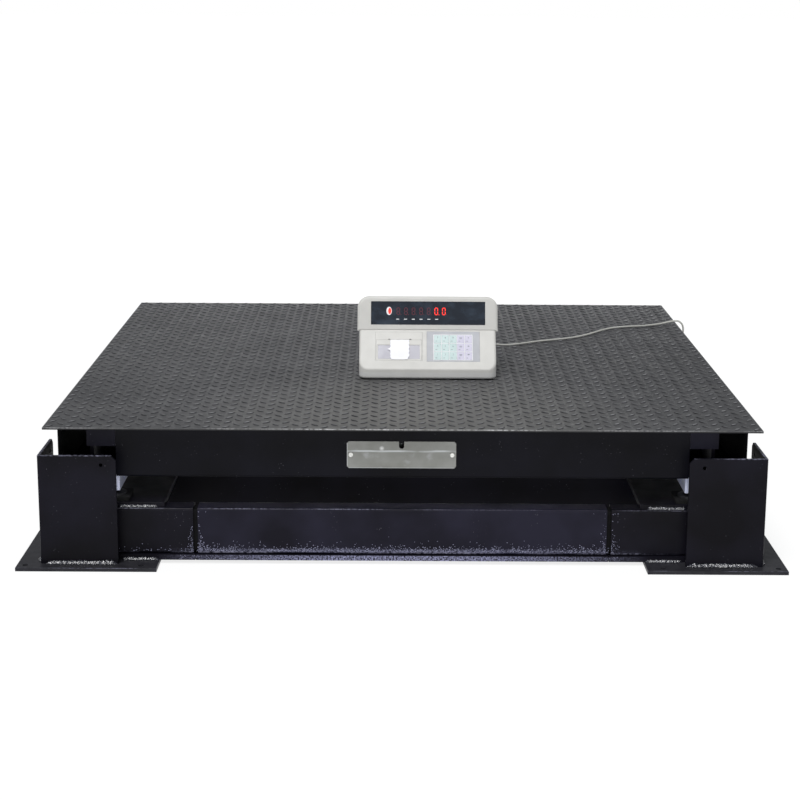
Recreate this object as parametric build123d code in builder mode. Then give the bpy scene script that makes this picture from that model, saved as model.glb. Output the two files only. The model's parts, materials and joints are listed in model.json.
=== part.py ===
from build123d import *

import math
import os

# Double-deck pallet scale, in millimetres.
# +Z is up, -Y is the front, and the origin is the centre of the footprint on the floor.
#
# The base is a knock-down frame of rectangular tube: four corner modules with anchor
# plates and guard posts, joined by centre beams. A chequered deck stands on it through
# four shear-beam load cells, each with a levelling foot on a rubber pad. A desk
# indicator with a slip printer stands on the deck, and its cord runs over the right edge
# into a gland on the deck's side rail.

os.makedirs("parts", exist_ok=True)

# ---------------------------------------------------------------- driving dimensions

# Base frame
PLATE_OUT = 806.0  # outer edge of the anchor plates, from the centre
PLATE_SIZE = 294.0
PLATE_T = 8.0
ANCHOR_OUT = 788.0  # anchor holes: the outer row
ANCHOR_IN = 546.0  # anchor holes: the inner end of each outer margin
ANCHOR_R = 6.0
EDGE_R = 1.0  # the paint rounds every cut plate's edges by this much
POST_OUT_X = 757.5  # outer faces of the guard posts' side legs
POST_OUT_Y = 778.0  # outer faces of their front and rear legs
POST_T = 6.0
POST_TOP = 242.0
POST_FRONT_LEG = 163.0
POST_SIDE_LEG = 150.0
POST_BEND_R = 4.0
POST_CHAMFER = 10.0
POST_HOLE_R = 4.0
POST_HOLE_EDGE = 31.0
POST_HOLE_DROP = 20.0
STRIP_OUT = 748.0
STRIP_W = 60.0
STRIP_T = 12.0
BEAM_OUT = 742.0
BEAM_W = 50.0
BEAM_H = 100.0
BEAM_WALL = 4.0
BEAM_R = 6.0
JOINT_CENTRE = 436.0  # where the centre beams meet the corner modules
JOINT_GAP = 9.5
STRIP_GAP = 1.0
SLEEVE_LENGTH = 120.0
SLEEVE_WALL = 3.0
SLEEVE_R = 4.0
SLEEVE_CLEARANCE = 0.3
CROSS_Y = 370.0
SEAT_IN = 501.0
SEAT_OUT = 734.0
SEAT_T = 10.0
WELD_LEG = 8.0
STRIP_WELD_LEG = 6.0
PAD_SIZE = 74.0
PAD_T = 8.0

BEAM_Z = PLATE_T + STRIP_T
BEAM_TOP = BEAM_Z + BEAM_H
SEAT_TOP = BEAM_TOP + SEAT_T
PAD_TOP = SEAT_TOP + PAD_T

# Deck
DECK_HALF = 750.0
DECK_T = 5.0
DECK_TOP = 295.0
DECK_UNDER = DECK_TOP - DECK_T
RAIL_OUT = 723.0
RAIL_H = 107.0
RAIL_WEB = 7.0
RAIL_FLANGE = 48.0
RAIL_FLANGE_T = 7.0
RAIL_BEND_R = 5.0
RAIL_END = 602.0  # the front and rear rails stop here, which leaves a pocket at each corner
RAIL_Z = DECK_UNDER - RAIL_H
RIB_W = 60.0
RIB_H = 41.0
RIB_WALL = 3.0
RIB_SPACING = 200.0
OUTER_RIB_X = 632.5

# Load cells, their brackets, bolts and feet: one corner's places, mirrored to the others
CELL_X = 614.0
CELL_W = 34.0
CELL_H = 32.0
CELL_FRONT = 714.0
CELL_LENGTH = 148.0
CELL_Z = 150.0
CELL_TOP = CELL_Z + CELL_H
CELL_BOLTS_Y = (611.0, 586.0)
CELL_BOLT_R = 6.0
CELL_BOLT_CLEARANCE_R = 6.6
GAUGE_R = 11.0
GAUGE_DEPTH = 9.0
GAUGE_Y = 648.0
FOOT_Y = 690.0
FOOT_R = 28.0
STUD_R = 8.0
RUNNING_GAP = 0.05
BRACKET_T = 12.0
BRACKET_IN = 603.0
BRACKET_OUT = 674.0
BRACKET_FRONT = 705.0
BRACKET_REAR = 560.0
GUSSET_T = 8.0

# Access cover and junction box, on the front rail
COVER_X = -2.5
COVER_W = 229.0
COVER_H = 57.6
COVER_T = 2.0
COVER_Z = 233.6
COVER_CHAMFER = 4.0
NOTCH_W = 10.9
NOTCH_DEPTH = 10.0
SCREW_X = 106.4
SCREW_R = 2.5
WINDOW_W = 186.0
WINDOW_H = 50.0
BOX_W = 198.0
BOX_H = 58.0
BOX_DEPTH = 40.0
BOX_WALL = 3.0

# Cord and its gland
CORD_R = 2.5
GLAND_Y = 468.0
GLAND_Z = 243.0
GLAND_TIP = 739.0
GLAND_R = 8.0

# Indicator: its own width is centred on IND_X
IND_X = 59.0
IND_FRONT = -272.7
IND_REAR = -28.0
IND_FOOT = 3.0
IND_BASE_Z = DECK_TOP + IND_FOOT
PARTING_Z = 313.0
LIP_TOP = 320.7
CASE_W = 321.0
HOUSING_W = 331.0
CASE_R = 20.0
CASE_WALL = 3.0
SLOPE_ANGLE = 50.0
SLOPE_LENGTH = 106.5
FACE_ANGLE = 70.0
FACE_LENGTH = 79.3
HOUSING_PROUD = 2.0
HOUSING_TOP_R = 28.0
SLOPE_EDGE_R = 6.0
FACE_EDGE_R = 8.0
REAR_EDGE_R = 10.0
BASE_EDGE_R = 5.0

# Places on the sloping panel: x from the indicator's centre, s up the slope
PRINTER_X = -67.5
PRINTER_W = 115.0
PANEL_S = 61.0  # middle of both panels, up the slope
PANEL_L = 80.0
KEYPAD_X = 60.0
KEYPAD_W = 124.0
KEY_COLUMNS = 5
KEY_ROWS = 3
KEY_PITCH_X = 18.1
KEY_PITCH_S = 22.4
KEYS_X = 59.5  # middle of the key block
KEYS_S = 58.0
KEY_GAP = 1.6
KEY_SLOT_GAP = 0.3
KEY_PROUD = 0.8
KEY_T = 3.0
PANEL_T = 2.5
DOOR_HIGH = 78.0
DOOR_T = 2.4
DOOR_GAP = 0.4
PAPER_X = -65.5
PAPER_W = 45.0
ROLL_R = 16.0
ROLL_CORE_R = 6.0
ROLL_S = 50.0
ROLL_DEPTH = 23.0
SWITCH_X = -20.0
SWITCH_Z = 350.0
SWITCH_W = 15.0
SWITCH_H = 24.0
WINDOW_FACE_X = 1.0
WINDOW_FACE_W = 269.5
WINDOW_FACE_S = 38.6
WINDOW_FACE_L = 55.9

# ---------------------------------------------------------------- planes

SLOPE_A = math.radians(SLOPE_ANGLE)
FACE_A = math.radians(FACE_ANGLE)
STEP_Y = IND_FRONT + SLOPE_LENGTH * math.cos(SLOPE_A)
STEP_Z = LIP_TOP + SLOPE_LENGTH * math.sin(SLOPE_A)

# The sloping panel: local x is +X, local y runs up the slope, local z points out of it
SLOPE = Plane(
    origin=(IND_X, IND_FRONT, LIP_TOP),
    x_dir=(1, 0, 0),
    z_dir=(0, -math.sin(SLOPE_A), math.cos(SLOPE_A)),
)
SLOPE_NORMAL = Axis((0, 0, 0), (0, -math.sin(SLOPE_A), math.cos(SLOPE_A)))
# The display face, which stands HOUSING_PROUD in front of the slope's end
FACE = Plane(
    origin=(IND_X, STEP_Y, STEP_Z),
    x_dir=(1, 0, 0),
    z_dir=(0, -math.sin(FACE_A), math.cos(FACE_A)),
).offset(HOUSING_PROUD)


def finish(piece, name):
    """Label a finished piece and write its STEP file."""
    piece.part.label = name
    export_step(piece.part, f"parts/{name}.step")


# ---------------------------------------------------------------- base frame

plate_mid = PLATE_OUT - PLATE_SIZE / 2
with BuildPart() as base_plates:
    with BuildSketch():
        with Locations((-plate_mid, -plate_mid)):
            Rectangle(PLATE_SIZE, PLATE_SIZE)
        with Locations((-ANCHOR_OUT, -ANCHOR_OUT), (-ANCHOR_IN, -ANCHOR_OUT), (-ANCHOR_OUT, -ANCHOR_IN)):
            Circle(ANCHOR_R, mode=Mode.SUBTRACT)
    extrude(amount=PLATE_T)
    fillet(base_plates.faces().sort_by(Axis.Z)[-1].edges().filter_by(GeomType.LINE), radius=EDGE_R)
    mirror(about=Plane.YZ)
    mirror(about=Plane.XZ)
finish(base_plates, "base_plates")

# Guard posts: bent plate angles, with one tie hole in each leg
post_front_end = -POST_OUT_X + POST_FRONT_LEG
post_side_end = -POST_OUT_Y + POST_SIDE_LEG
with BuildPart() as corner_posts:
    with BuildSketch(Plane.XY.offset(PLATE_T)):
        with BuildLine():
            Polyline(
                (-POST_OUT_X, -POST_OUT_Y),
                (post_front_end, -POST_OUT_Y),
                (post_front_end, -POST_OUT_Y + POST_T),
                (-POST_OUT_X + POST_T, -POST_OUT_Y + POST_T),
                (-POST_OUT_X + POST_T, post_side_end),
                (-POST_OUT_X, post_side_end),
                close=True,
            )
        make_face()
    extrude(amount=POST_TOP - PLATE_T)
    fillet(corner_posts.edges().filter_by(Axis.Z).group_by(Axis.X)[0].sort_by(Axis.Y)[0], radius=POST_BEND_R)
    front_top = corner_posts.edges().filter_by(Axis.Y).group_by(Axis.X)[-1].sort_by(Axis.Z)[-1]
    side_top = corner_posts.edges().filter_by(Axis.X).group_by(Axis.Y)[-1].sort_by(Axis.Z)[-1]
    chamfer([front_top, side_top], length=POST_CHAMFER)
    with BuildSketch(Plane.XZ.offset(POST_OUT_Y)):
        with Locations((post_front_end - POST_HOLE_EDGE, POST_TOP - POST_HOLE_DROP)):
            Circle(POST_HOLE_R)
    extrude(amount=-POST_T, mode=Mode.SUBTRACT)
    with BuildSketch(Plane.YZ.offset(-POST_OUT_X)):
        with Locations((post_side_end - POST_HOLE_EDGE, POST_TOP - POST_HOLE_DROP)):
            Circle(POST_HOLE_R)
    extrude(amount=POST_T, mode=Mode.SUBTRACT)
    front_face = corner_posts.faces().filter_by(Axis.Y).sort_by(Axis.Y)[0]
    side_face = corner_posts.faces().filter_by(Axis.X).sort_by(Axis.X)[0]
    free_edges = (front_face.edges() + side_face.edges()).filter_by(GeomType.LINE)
    fillet(
        free_edges.filter_by(
            lambda edge: edge.center().Z > PLATE_T + 1.0
            and max(edge.center().X + POST_OUT_X, edge.center().Y + POST_OUT_Y) > POST_BEND_R + 1.0
        ),
        radius=EDGE_R,
    )
    mirror(about=Plane.YZ)
    mirror(about=Plane.XZ)
finish(corner_posts, "corner_posts")


def tube_section(width, height, wall, radius):
    """Rectangular hollow section, drawn in the current sketch about its location."""
    RectangleRounded(width, height, radius)
    RectangleRounded(width - 2 * wall, height - 2 * wall, radius - wall, mode=Mode.SUBTRACT)


beam_mid = BEAM_OUT - BEAM_W / 2
beam_mid_z = BEAM_Z + BEAM_H / 2
joint_in = JOINT_CENTRE - JOINT_GAP / 2
joint_out = JOINT_CENTRE + JOINT_GAP / 2

# Corner modules: two mitred tubes, welded to an L
mitre = Plane(origin=(-BEAM_OUT, -BEAM_OUT, 0), z_dir=(-1, 1, 0))
with BuildPart() as corner_boxes:
    with BuildSketch(Plane.YZ.offset(-BEAM_OUT)):
        with Locations((-beam_mid, beam_mid_z)):
            tube_section(BEAM_W, BEAM_H, BEAM_WALL, BEAM_R)
    extrude(amount=BEAM_OUT - joint_out)
    split(bisect_by=mitre, keep=Keep.BOTTOM)
    mirror(about=mitre)
    mirror(about=Plane.YZ)
    mirror(about=Plane.XZ)
finish(corner_boxes, "corner_boxes")

with BuildPart() as end_beams:
    with BuildSketch(Plane.YZ.offset(-joint_in)):
        with Locations((-beam_mid, beam_mid_z), (beam_mid, beam_mid_z)):
            tube_section(BEAM_W, BEAM_H, BEAM_WALL, BEAM_R)
    extrude(amount=2 * joint_in)
finish(end_beams, "end_beams")

with BuildPart() as side_beams:
    with BuildSketch(Plane.XZ.offset(joint_in)):
        with Locations((-beam_mid, beam_mid_z), (beam_mid, beam_mid_z)):
            tube_section(BEAM_W, BEAM_H, BEAM_WALL, BEAM_R)
    extrude(amount=-2 * joint_in)
finish(side_beams, "side_beams")

with BuildPart() as cross_beams:
    with BuildSketch(Plane.YZ.offset(-(BEAM_OUT - BEAM_W))):
        with Locations((-CROSS_Y, beam_mid_z), (CROSS_Y, beam_mid_z)):
            tube_section(BEAM_W, BEAM_H, BEAM_WALL, BEAM_R)
    extrude(amount=2 * (BEAM_OUT - BEAM_W))
finish(cross_beams, "cross_beams")

# Sleeves that join the centre beams to the corner modules, seen in the joint gaps
sleeve_w = BEAM_W - 2 * BEAM_WALL - 2 * SLEEVE_CLEARANCE
sleeve_h = BEAM_H - 2 * BEAM_WALL - 2 * SLEEVE_CLEARANCE
with BuildPart() as joint_sleeves:
    with BuildSketch(Plane.YZ.offset(-JOINT_CENTRE - SLEEVE_LENGTH / 2)):
        with Locations((-beam_mid, beam_mid_z), (beam_mid, beam_mid_z)):
            tube_section(sleeve_w, sleeve_h, SLEEVE_WALL, SLEEVE_R)
    extrude(amount=SLEEVE_LENGTH)
    with BuildSketch(Plane.XZ.offset(JOINT_CENTRE + SLEEVE_LENGTH / 2)):
        with Locations((-beam_mid, beam_mid_z), (beam_mid, beam_mid_z)):
            tube_section(sleeve_w, sleeve_h, SLEEVE_WALL, SLEEVE_R)
    extrude(amount=-SLEEVE_LENGTH)
    mirror(about=Plane.YZ)
    mirror(about=Plane.XZ)
finish(joint_sleeves, "joint_sleeves")

# Flat strips under the beams: an L at each corner and a straight one under each centre beam
strip_in = STRIP_OUT - STRIP_W
strip_joint_in = JOINT_CENTRE - STRIP_GAP / 2
strip_joint_out = JOINT_CENTRE + STRIP_GAP / 2
strip_mid = STRIP_OUT - STRIP_W / 2
with BuildPart() as bottom_strips:
    with BuildSketch(Plane.XY.offset(PLATE_T)):
        with Locations((0, -strip_mid), (0, strip_mid)):
            Rectangle(2 * strip_joint_in, STRIP_W)
        with Locations((-strip_mid, 0), (strip_mid, 0)):
            Rectangle(STRIP_W, 2 * strip_joint_in)
        with BuildLine():
            Polyline(
                (-STRIP_OUT, -STRIP_OUT),
                (-strip_joint_out, -STRIP_OUT),
                (-strip_joint_out, -strip_in),
                (-strip_in, -strip_in),
                (-strip_in, -strip_joint_out),
                (-STRIP_OUT, -strip_joint_out),
                close=True,
            )
        make_face()
        mirror(about=Plane.YZ)
        mirror(about=Plane.XZ)
    extrude(amount=STRIP_T)
finish(bottom_strips, "bottom_strips")

seat_size = SEAT_OUT - SEAT_IN
seat_mid = (SEAT_OUT + SEAT_IN) / 2
with BuildPart() as seat_plates:
    with BuildSketch(Plane.XY.offset(BEAM_TOP)):
        with Locations((-seat_mid, -seat_mid)):
            Rectangle(seat_size, seat_size)
    extrude(amount=SEAT_T)
    fillet(seat_plates.faces().sort_by(Axis.Z)[-1].edges(), radius=EDGE_R)
    mirror(about=Plane.YZ)
    mirror(about=Plane.XZ)
finish(seat_plates, "seat_plates")

with BuildPart() as buffer_pads:
    with BuildSketch(Plane.XY.offset(SEAT_TOP)):
        with Locations((-CELL_X, -FOOT_Y)):
            RectangleRounded(PAD_SIZE, PAD_SIZE, 6.0)
    extrude(amount=PAD_T)
    mirror(about=Plane.YZ)
    mirror(about=Plane.XZ)
finish(buffer_pads, "buffer_pads")


def weld_along_x(start, end, y, z, leg):
    """Fillet weld whose corner runs along X at (y, z), standing out towards -Y."""
    with BuildSketch(Plane.YZ.offset(start)) as section:
        with BuildLine():
            Polyline((y, z), (y - leg, z), (y, z + leg), close=True)
        make_face()
    extrude(section.sketch, amount=end - start)


def weld_along_y(start, end, x, z, leg):
    """Fillet weld whose corner runs along Y at (x, z), standing out towards -X."""
    with BuildSketch(Plane.XZ.offset(-start)) as section:
        with BuildLine():
            Polyline((x, z), (x - leg, z), (x, z + leg), close=True)
        make_face()
    extrude(section.sketch, amount=start - end)


# Fillet welds at the posts' feet, the strips' edges and the seat plates' outer edges
WELD_IN = 12.0  # from the posts' corners
WELD_END_GAP = 3.0
strip_weld_end = -PLATE_OUT + PLATE_SIZE - 2.0
seat_weld_end = -SEAT_IN - 14.0
front_weld_end = post_front_end - WELD_END_GAP
front_weld_next = post_front_end + WELD_END_GAP
side_weld_end = post_side_end - WELD_END_GAP
side_weld_next = post_side_end + WELD_END_GAP
with BuildPart() as weld_beads:
    weld_along_x(-POST_OUT_X + WELD_IN, front_weld_end, -POST_OUT_Y, PLATE_T, WELD_LEG)
    weld_along_x(front_weld_next, strip_weld_end, -STRIP_OUT, PLATE_T, STRIP_WELD_LEG)
    weld_along_x(front_weld_end, seat_weld_end, -SEAT_OUT, BEAM_TOP, STRIP_WELD_LEG)
    weld_along_y(-POST_OUT_Y + WELD_IN, side_weld_end, -POST_OUT_X, PLATE_T, WELD_LEG)
    weld_along_y(side_weld_next, strip_weld_end, -STRIP_OUT, PLATE_T, STRIP_WELD_LEG)
    weld_along_y(side_weld_end, seat_weld_end, -SEAT_OUT, BEAM_TOP, STRIP_WELD_LEG)
    mirror(about=Plane.YZ)
    mirror(about=Plane.XZ)
finish(weld_beads, "weld_beads")

# ---------------------------------------------------------------- deck structure

with BuildPart() as deck_plate:
    with BuildSketch(Plane.XY.offset(DECK_UNDER)):
        Rectangle(2 * DECK_HALF, 2 * DECK_HALF)
    extrude(amount=DECK_T)
    fillet(deck_plate.edges(), radius=EDGE_R)
finish(deck_plate, "deck_plate")


def channel_section():
    """Channel with its web on local x = 0 and its flanges towards +x, from RAIL_Z upwards."""
    with BuildLine() as outline:
        FilletPolyline(
            (RAIL_FLANGE, RAIL_Z),
            (0, RAIL_Z),
            (0, DECK_UNDER),
            (RAIL_FLANGE, DECK_UNDER),
            radius=RAIL_BEND_R,
        )
        Polyline(
            (RAIL_FLANGE, DECK_UNDER),
            (RAIL_FLANGE, DECK_UNDER - RAIL_FLANGE_T),
            (RAIL_WEB, DECK_UNDER - RAIL_FLANGE_T),
            (RAIL_WEB, RAIL_Z + RAIL_FLANGE_T),
            (RAIL_FLANGE, RAIL_Z + RAIL_FLANGE_T),
            (RAIL_FLANGE, RAIL_Z),
        )
    make_face(outline.edges())


def rail_plane(origin, towards, along):
    """Plane whose local x points towards the deck's middle and whose normal is `along`."""
    return Plane(origin=origin, x_dir=towards, z_dir=along)


# The front rail carries the access window, behind which the junction box sits
SCREW_PLACES = [(COVER_X - SCREW_X, COVER_Z), (COVER_X + SCREW_X, COVER_Z)]
with BuildPart() as front_rail:
    with BuildSketch(rail_plane((-RAIL_END, -RAIL_OUT, 0), (0, 1, 0), (1, 0, 0))):
        channel_section()
    extrude(amount=2 * RAIL_END)
    with BuildSketch(Plane.XZ.offset(RAIL_OUT)):
        with Locations((COVER_X, COVER_Z)):
            RectangleRounded(WINDOW_W, WINDOW_H, 6.0)
        with Locations(*SCREW_PLACES):
            Circle(SCREW_R + RUNNING_GAP)
    extrude(amount=-RAIL_WEB, mode=Mode.SUBTRACT)
finish(front_rail, "front_rail")

with BuildPart() as rear_rail:
    with BuildSketch(rail_plane((RAIL_END, RAIL_OUT, 0), (0, -1, 0), (-1, 0, 0))):
        channel_section()
    extrude(amount=2 * RAIL_END)
finish(rear_rail, "rear_rail")

with BuildPart() as left_rail:
    with BuildSketch(rail_plane((-RAIL_OUT, RAIL_OUT, 0), (1, 0, 0), (0, -1, 0))):
        channel_section()
    extrude(amount=2 * RAIL_OUT)
finish(left_rail, "left_rail")

with BuildPart() as right_rail:
    with BuildSketch(rail_plane((RAIL_OUT, -RAIL_OUT, 0), (-1, 0, 0), (0, 1, 0))):
        channel_section()
    extrude(amount=2 * RAIL_OUT)
    with BuildSketch(Plane.YZ.offset(RAIL_OUT)):
        with Locations((GLAND_Y, GLAND_Z)):
            Circle(GLAND_R + RUNNING_GAP)
    extrude(amount=-RAIL_WEB, mode=Mode.SUBTRACT)
finish(right_rail, "right_rail")

# Ribs under the deck, capped at both ends: five between the end rails, and one beside each pocket
rib_z = DECK_UNDER - RIB_H / 2
inner_ribs = [(step * RIB_SPACING, 0, rib_z) for step in range(-2, 3)]
outer_ribs = [(-OUTER_RIB_X, 0, rib_z), (OUTER_RIB_X, 0, rib_z)]
with BuildPart() as deck_ribs:
    for places, rib_end in ((inner_ribs, RAIL_OUT - RAIL_FLANGE), (outer_ribs, RAIL_OUT)):
        with Locations(*places):
            Box(RIB_W, 2 * rib_end, RIB_H)
            Box(RIB_W - 2 * RIB_WALL, 2 * (rib_end - RIB_WALL), RIB_H - 2 * RIB_WALL, mode=Mode.SUBTRACT)
finish(deck_ribs, "deck_ribs")

# ---------------------------------------------------------------- load cells and feet

bracket_mid_x = (BRACKET_IN + BRACKET_OUT) / 2
bracket_mid_y = (BRACKET_FRONT + BRACKET_REAR) / 2
bracket_w = BRACKET_OUT - BRACKET_IN
bracket_l = BRACKET_FRONT - BRACKET_REAR
rib_under = DECK_UNDER - RIB_H
gusset_h = rib_under - CELL_TOP - BRACKET_T
with BuildPart() as cell_brackets:
    with BuildSketch(Plane.XY.offset(CELL_TOP)):
        with Locations((-bracket_mid_x, -bracket_mid_y)):
            Rectangle(bracket_w, bracket_l)
        with Locations(*[(-CELL_X, -y) for y in CELL_BOLTS_Y]):
            Circle(CELL_BOLT_R + RUNNING_GAP, mode=Mode.SUBTRACT)
    extrude(amount=BRACKET_T)
    with BuildSketch(Plane.XY.offset(CELL_TOP + BRACKET_T)):
        with Locations((-OUTER_RIB_X - RIB_W / 2 + GUSSET_T, -bracket_mid_y)):
            Rectangle(GUSSET_T, bracket_l)
        with Locations((-OUTER_RIB_X, -BRACKET_REAR - GUSSET_T / 2)):
            Rectangle(RIB_W, GUSSET_T)
    extrude(amount=gusset_h)
    mirror(about=Plane.YZ)
    mirror(about=Plane.XZ)
finish(cell_brackets, "cell_brackets")

# Shear-beam load cell: bolt holes at one end, the foot's hole at the other, and a round
# gauge pocket in each side
cell_mid_y = CELL_FRONT - CELL_LENGTH / 2
cell_mid_z = CELL_Z + CELL_H / 2
with BuildPart() as load_cells:
    with BuildSketch(Plane.XY.offset(CELL_Z)):
        with Locations((-CELL_X, -cell_mid_y)):
            RectangleRounded(CELL_W, CELL_LENGTH, 3.0)
        with Locations(*[(-CELL_X, -y) for y in CELL_BOLTS_Y]):
            Circle(CELL_BOLT_CLEARANCE_R, mode=Mode.SUBTRACT)
        with Locations((-CELL_X, -FOOT_Y)):
            Circle(STUD_R + RUNNING_GAP, mode=Mode.SUBTRACT)
    extrude(amount=CELL_H)
    for plane_x, inwards in ((-CELL_X - CELL_W / 2, 1), (-CELL_X + CELL_W / 2, -1)):
        with BuildSketch(Plane.YZ.offset(plane_x)):
            with Locations((-GAUGE_Y, cell_mid_z)):
                Circle(GAUGE_R)
        extrude(amount=inwards * GAUGE_DEPTH, mode=Mode.SUBTRACT)
    mirror(about=Plane.YZ)
    mirror(about=Plane.XZ)
finish(load_cells, "load_cells")

BOLT_HEAD_H = 7.5
BOLT_HEAD_R = 10.4
with BuildPart() as cell_bolts:
    with BuildSketch(Plane.XY.offset(CELL_Z - BOLT_HEAD_H)):
        with Locations(*[(-CELL_X, -y) for y in CELL_BOLTS_Y]):
            RegularPolygon(BOLT_HEAD_R, 6)
    extrude(amount=BOLT_HEAD_H)
    with BuildSketch(Plane.XY.offset(CELL_Z)):
        with Locations(*[(-CELL_X, -y) for y in CELL_BOLTS_Y]):
            Circle(CELL_BOLT_R)
    extrude(amount=CELL_H + BRACKET_T - 1.0)
    mirror(about=Plane.YZ)
    mirror(about=Plane.XZ)
finish(cell_bolts, "cell_bolts")

# Levelling feet: a coned disc on the pad, a hexagon for the spanner and a stud in the cell
DISC_H = 3.5
CONE_H = 3.0
HEX_H = 5.0
HEX_R = 13.0
FOOT_NAMES = {
    (-1, -1): "foot_front_left",
    (1, -1): "foot_front_right",
    (-1, 1): "foot_rear_left",
    (1, 1): "foot_rear_right",
}
for (side_x, side_y), name in FOOT_NAMES.items():
    foot_x = side_x * CELL_X
    foot_y = side_y * FOOT_Y
    with BuildPart() as foot:
        with Locations((foot_x, foot_y, PAD_TOP)):
            Cylinder(FOOT_R, DISC_H, align=(Align.CENTER, Align.CENTER, Align.MIN))
        with Locations((foot_x, foot_y, PAD_TOP + DISC_H)):
            Cone(FOOT_R, HEX_R, CONE_H, align=(Align.CENTER, Align.CENTER, Align.MIN))
        with BuildSketch(Plane.XY.offset(PAD_TOP + DISC_H + CONE_H)):
            with Locations((foot_x, foot_y)):
                RegularPolygon(HEX_R, 6)
        extrude(amount=HEX_H)
        with Locations((foot_x, foot_y, PAD_TOP + DISC_H + CONE_H)):
            Cylinder(STUD_R, CELL_TOP - PAD_TOP - DISC_H - CONE_H,
                     align=(Align.CENTER, Align.CENTER, Align.MIN))
    finish(foot, name)

# ---------------------------------------------------------------- access cover and box

cover_top = COVER_Z + COVER_H / 2
with BuildPart() as access_cover:
    with BuildSketch(Plane.XZ.offset(RAIL_OUT)):
        with Locations((COVER_X, COVER_Z)):
            cover_outline = Rectangle(COVER_W, COVER_H)
        chamfer(cover_outline.vertices(), length=COVER_CHAMFER)
        with Locations((COVER_X, cover_top - NOTCH_DEPTH / 2)):
            Rectangle(NOTCH_W, NOTCH_DEPTH, mode=Mode.SUBTRACT)
        with Locations((COVER_X, cover_top - NOTCH_DEPTH)):
            Circle(NOTCH_W / 2, mode=Mode.SUBTRACT)
        with Locations(*SCREW_PLACES):
            Circle(SCREW_R + RUNNING_GAP, mode=Mode.SUBTRACT)
    extrude(amount=COVER_T)
finish(access_cover, "access_cover")

SCREW_HEAD_R = 4.8
SCREW_HEAD_H = 2.6
SCREW_SLOT = 1.0
with BuildPart() as cover_screws:
    with BuildSketch(Plane.XZ.offset(RAIL_OUT + COVER_T)):
        with Locations(*SCREW_PLACES):
            Circle(SCREW_HEAD_R)
    extrude(amount=SCREW_HEAD_H)
    fillet(cover_screws.faces().sort_by(Axis.Y)[:2].edges(), radius=1.2)
    with BuildSketch(Plane.XZ.offset(RAIL_OUT + COVER_T + SCREW_HEAD_H)):
        with Locations(*SCREW_PLACES):
            Rectangle(2 * SCREW_HEAD_R, SCREW_SLOT)
            Rectangle(SCREW_SLOT, 2 * SCREW_HEAD_R)
    extrude(amount=-1.2, mode=Mode.SUBTRACT)
    with BuildSketch(Plane.XZ.offset(RAIL_OUT - RAIL_WEB)):
        with Locations(*SCREW_PLACES):
            Circle(SCREW_R)
    extrude(amount=RAIL_WEB + COVER_T)
finish(cover_screws, "cover_screws")

# Junction box: an open box behind the access window, with five glands along its back
box_front = -(RAIL_OUT - RAIL_WEB)
GLAND_PITCH = 36.0
BOX_GLAND_R = 7.0
BOX_GLAND_L = 14.0
with BuildPart() as junction_box:
    with Locations((COVER_X, box_front + BOX_DEPTH / 2, COVER_Z)):
        Box(BOX_W, BOX_DEPTH, BOX_H)
    with Locations((COVER_X, box_front + (BOX_DEPTH - BOX_WALL) / 2, COVER_Z)):
        Box(BOX_W - 2 * BOX_WALL, BOX_DEPTH - BOX_WALL, BOX_H - 2 * BOX_WALL, mode=Mode.SUBTRACT)
    with BuildSketch(Plane.XZ.offset(-(box_front + BOX_DEPTH))):
        with Locations(*[(COVER_X + step * GLAND_PITCH, COVER_Z - 12.0) for step in range(-2, 3)]):
            Circle(BOX_GLAND_R)
    extrude(amount=-BOX_GLAND_L)
    with BuildSketch(Plane.XZ.offset(-(box_front + BOX_DEPTH + BOX_GLAND_L))):
        with Locations(*[(COVER_X + step * GLAND_PITCH, COVER_Z - 12.0) for step in range(-2, 3)]):
            Circle(CORD_R)
    extrude(amount=BOX_GLAND_L + BOX_WALL, mode=Mode.SUBTRACT)
finish(junction_box, "junction_box")

# ---------------------------------------------------------------- cord and gland

GLAND_NUT_R = 10.5
GLAND_NUT_L = 6.0
with BuildPart() as cord_gland:
    with BuildSketch(Plane.YZ.offset(RAIL_OUT)):
        with Locations((GLAND_Y, GLAND_Z)):
            RegularPolygon(GLAND_NUT_R, 6)
    extrude(amount=GLAND_NUT_L)
    with BuildSketch(Plane.YZ.offset(RAIL_OUT - RAIL_WEB - 3.0)):
        with Locations((GLAND_Y, GLAND_Z)):
            Circle(GLAND_R)
    extrude(amount=GLAND_TIP - RAIL_OUT + RAIL_WEB + 3.0)
    fillet(cord_gland.faces().sort_by(Axis.X)[-1].edges(), radius=3.0)
    with BuildSketch(Plane.YZ.offset(RAIL_OUT - RAIL_WEB - 3.0)):
        with Locations((GLAND_Y, GLAND_Z)):
            Circle(CORD_R + 0.2)
    extrude(amount=GLAND_TIP - RAIL_OUT + RAIL_WEB - 3.0, mode=Mode.SUBTRACT)
    with BuildSketch(Plane.YZ.offset(GLAND_TIP - 6.0)):
        with Locations((GLAND_Y, GLAND_Z)):
            Circle(CORD_R)
    extrude(amount=6.0, mode=Mode.SUBTRACT)
finish(cord_gland, "cord_gland")

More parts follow.
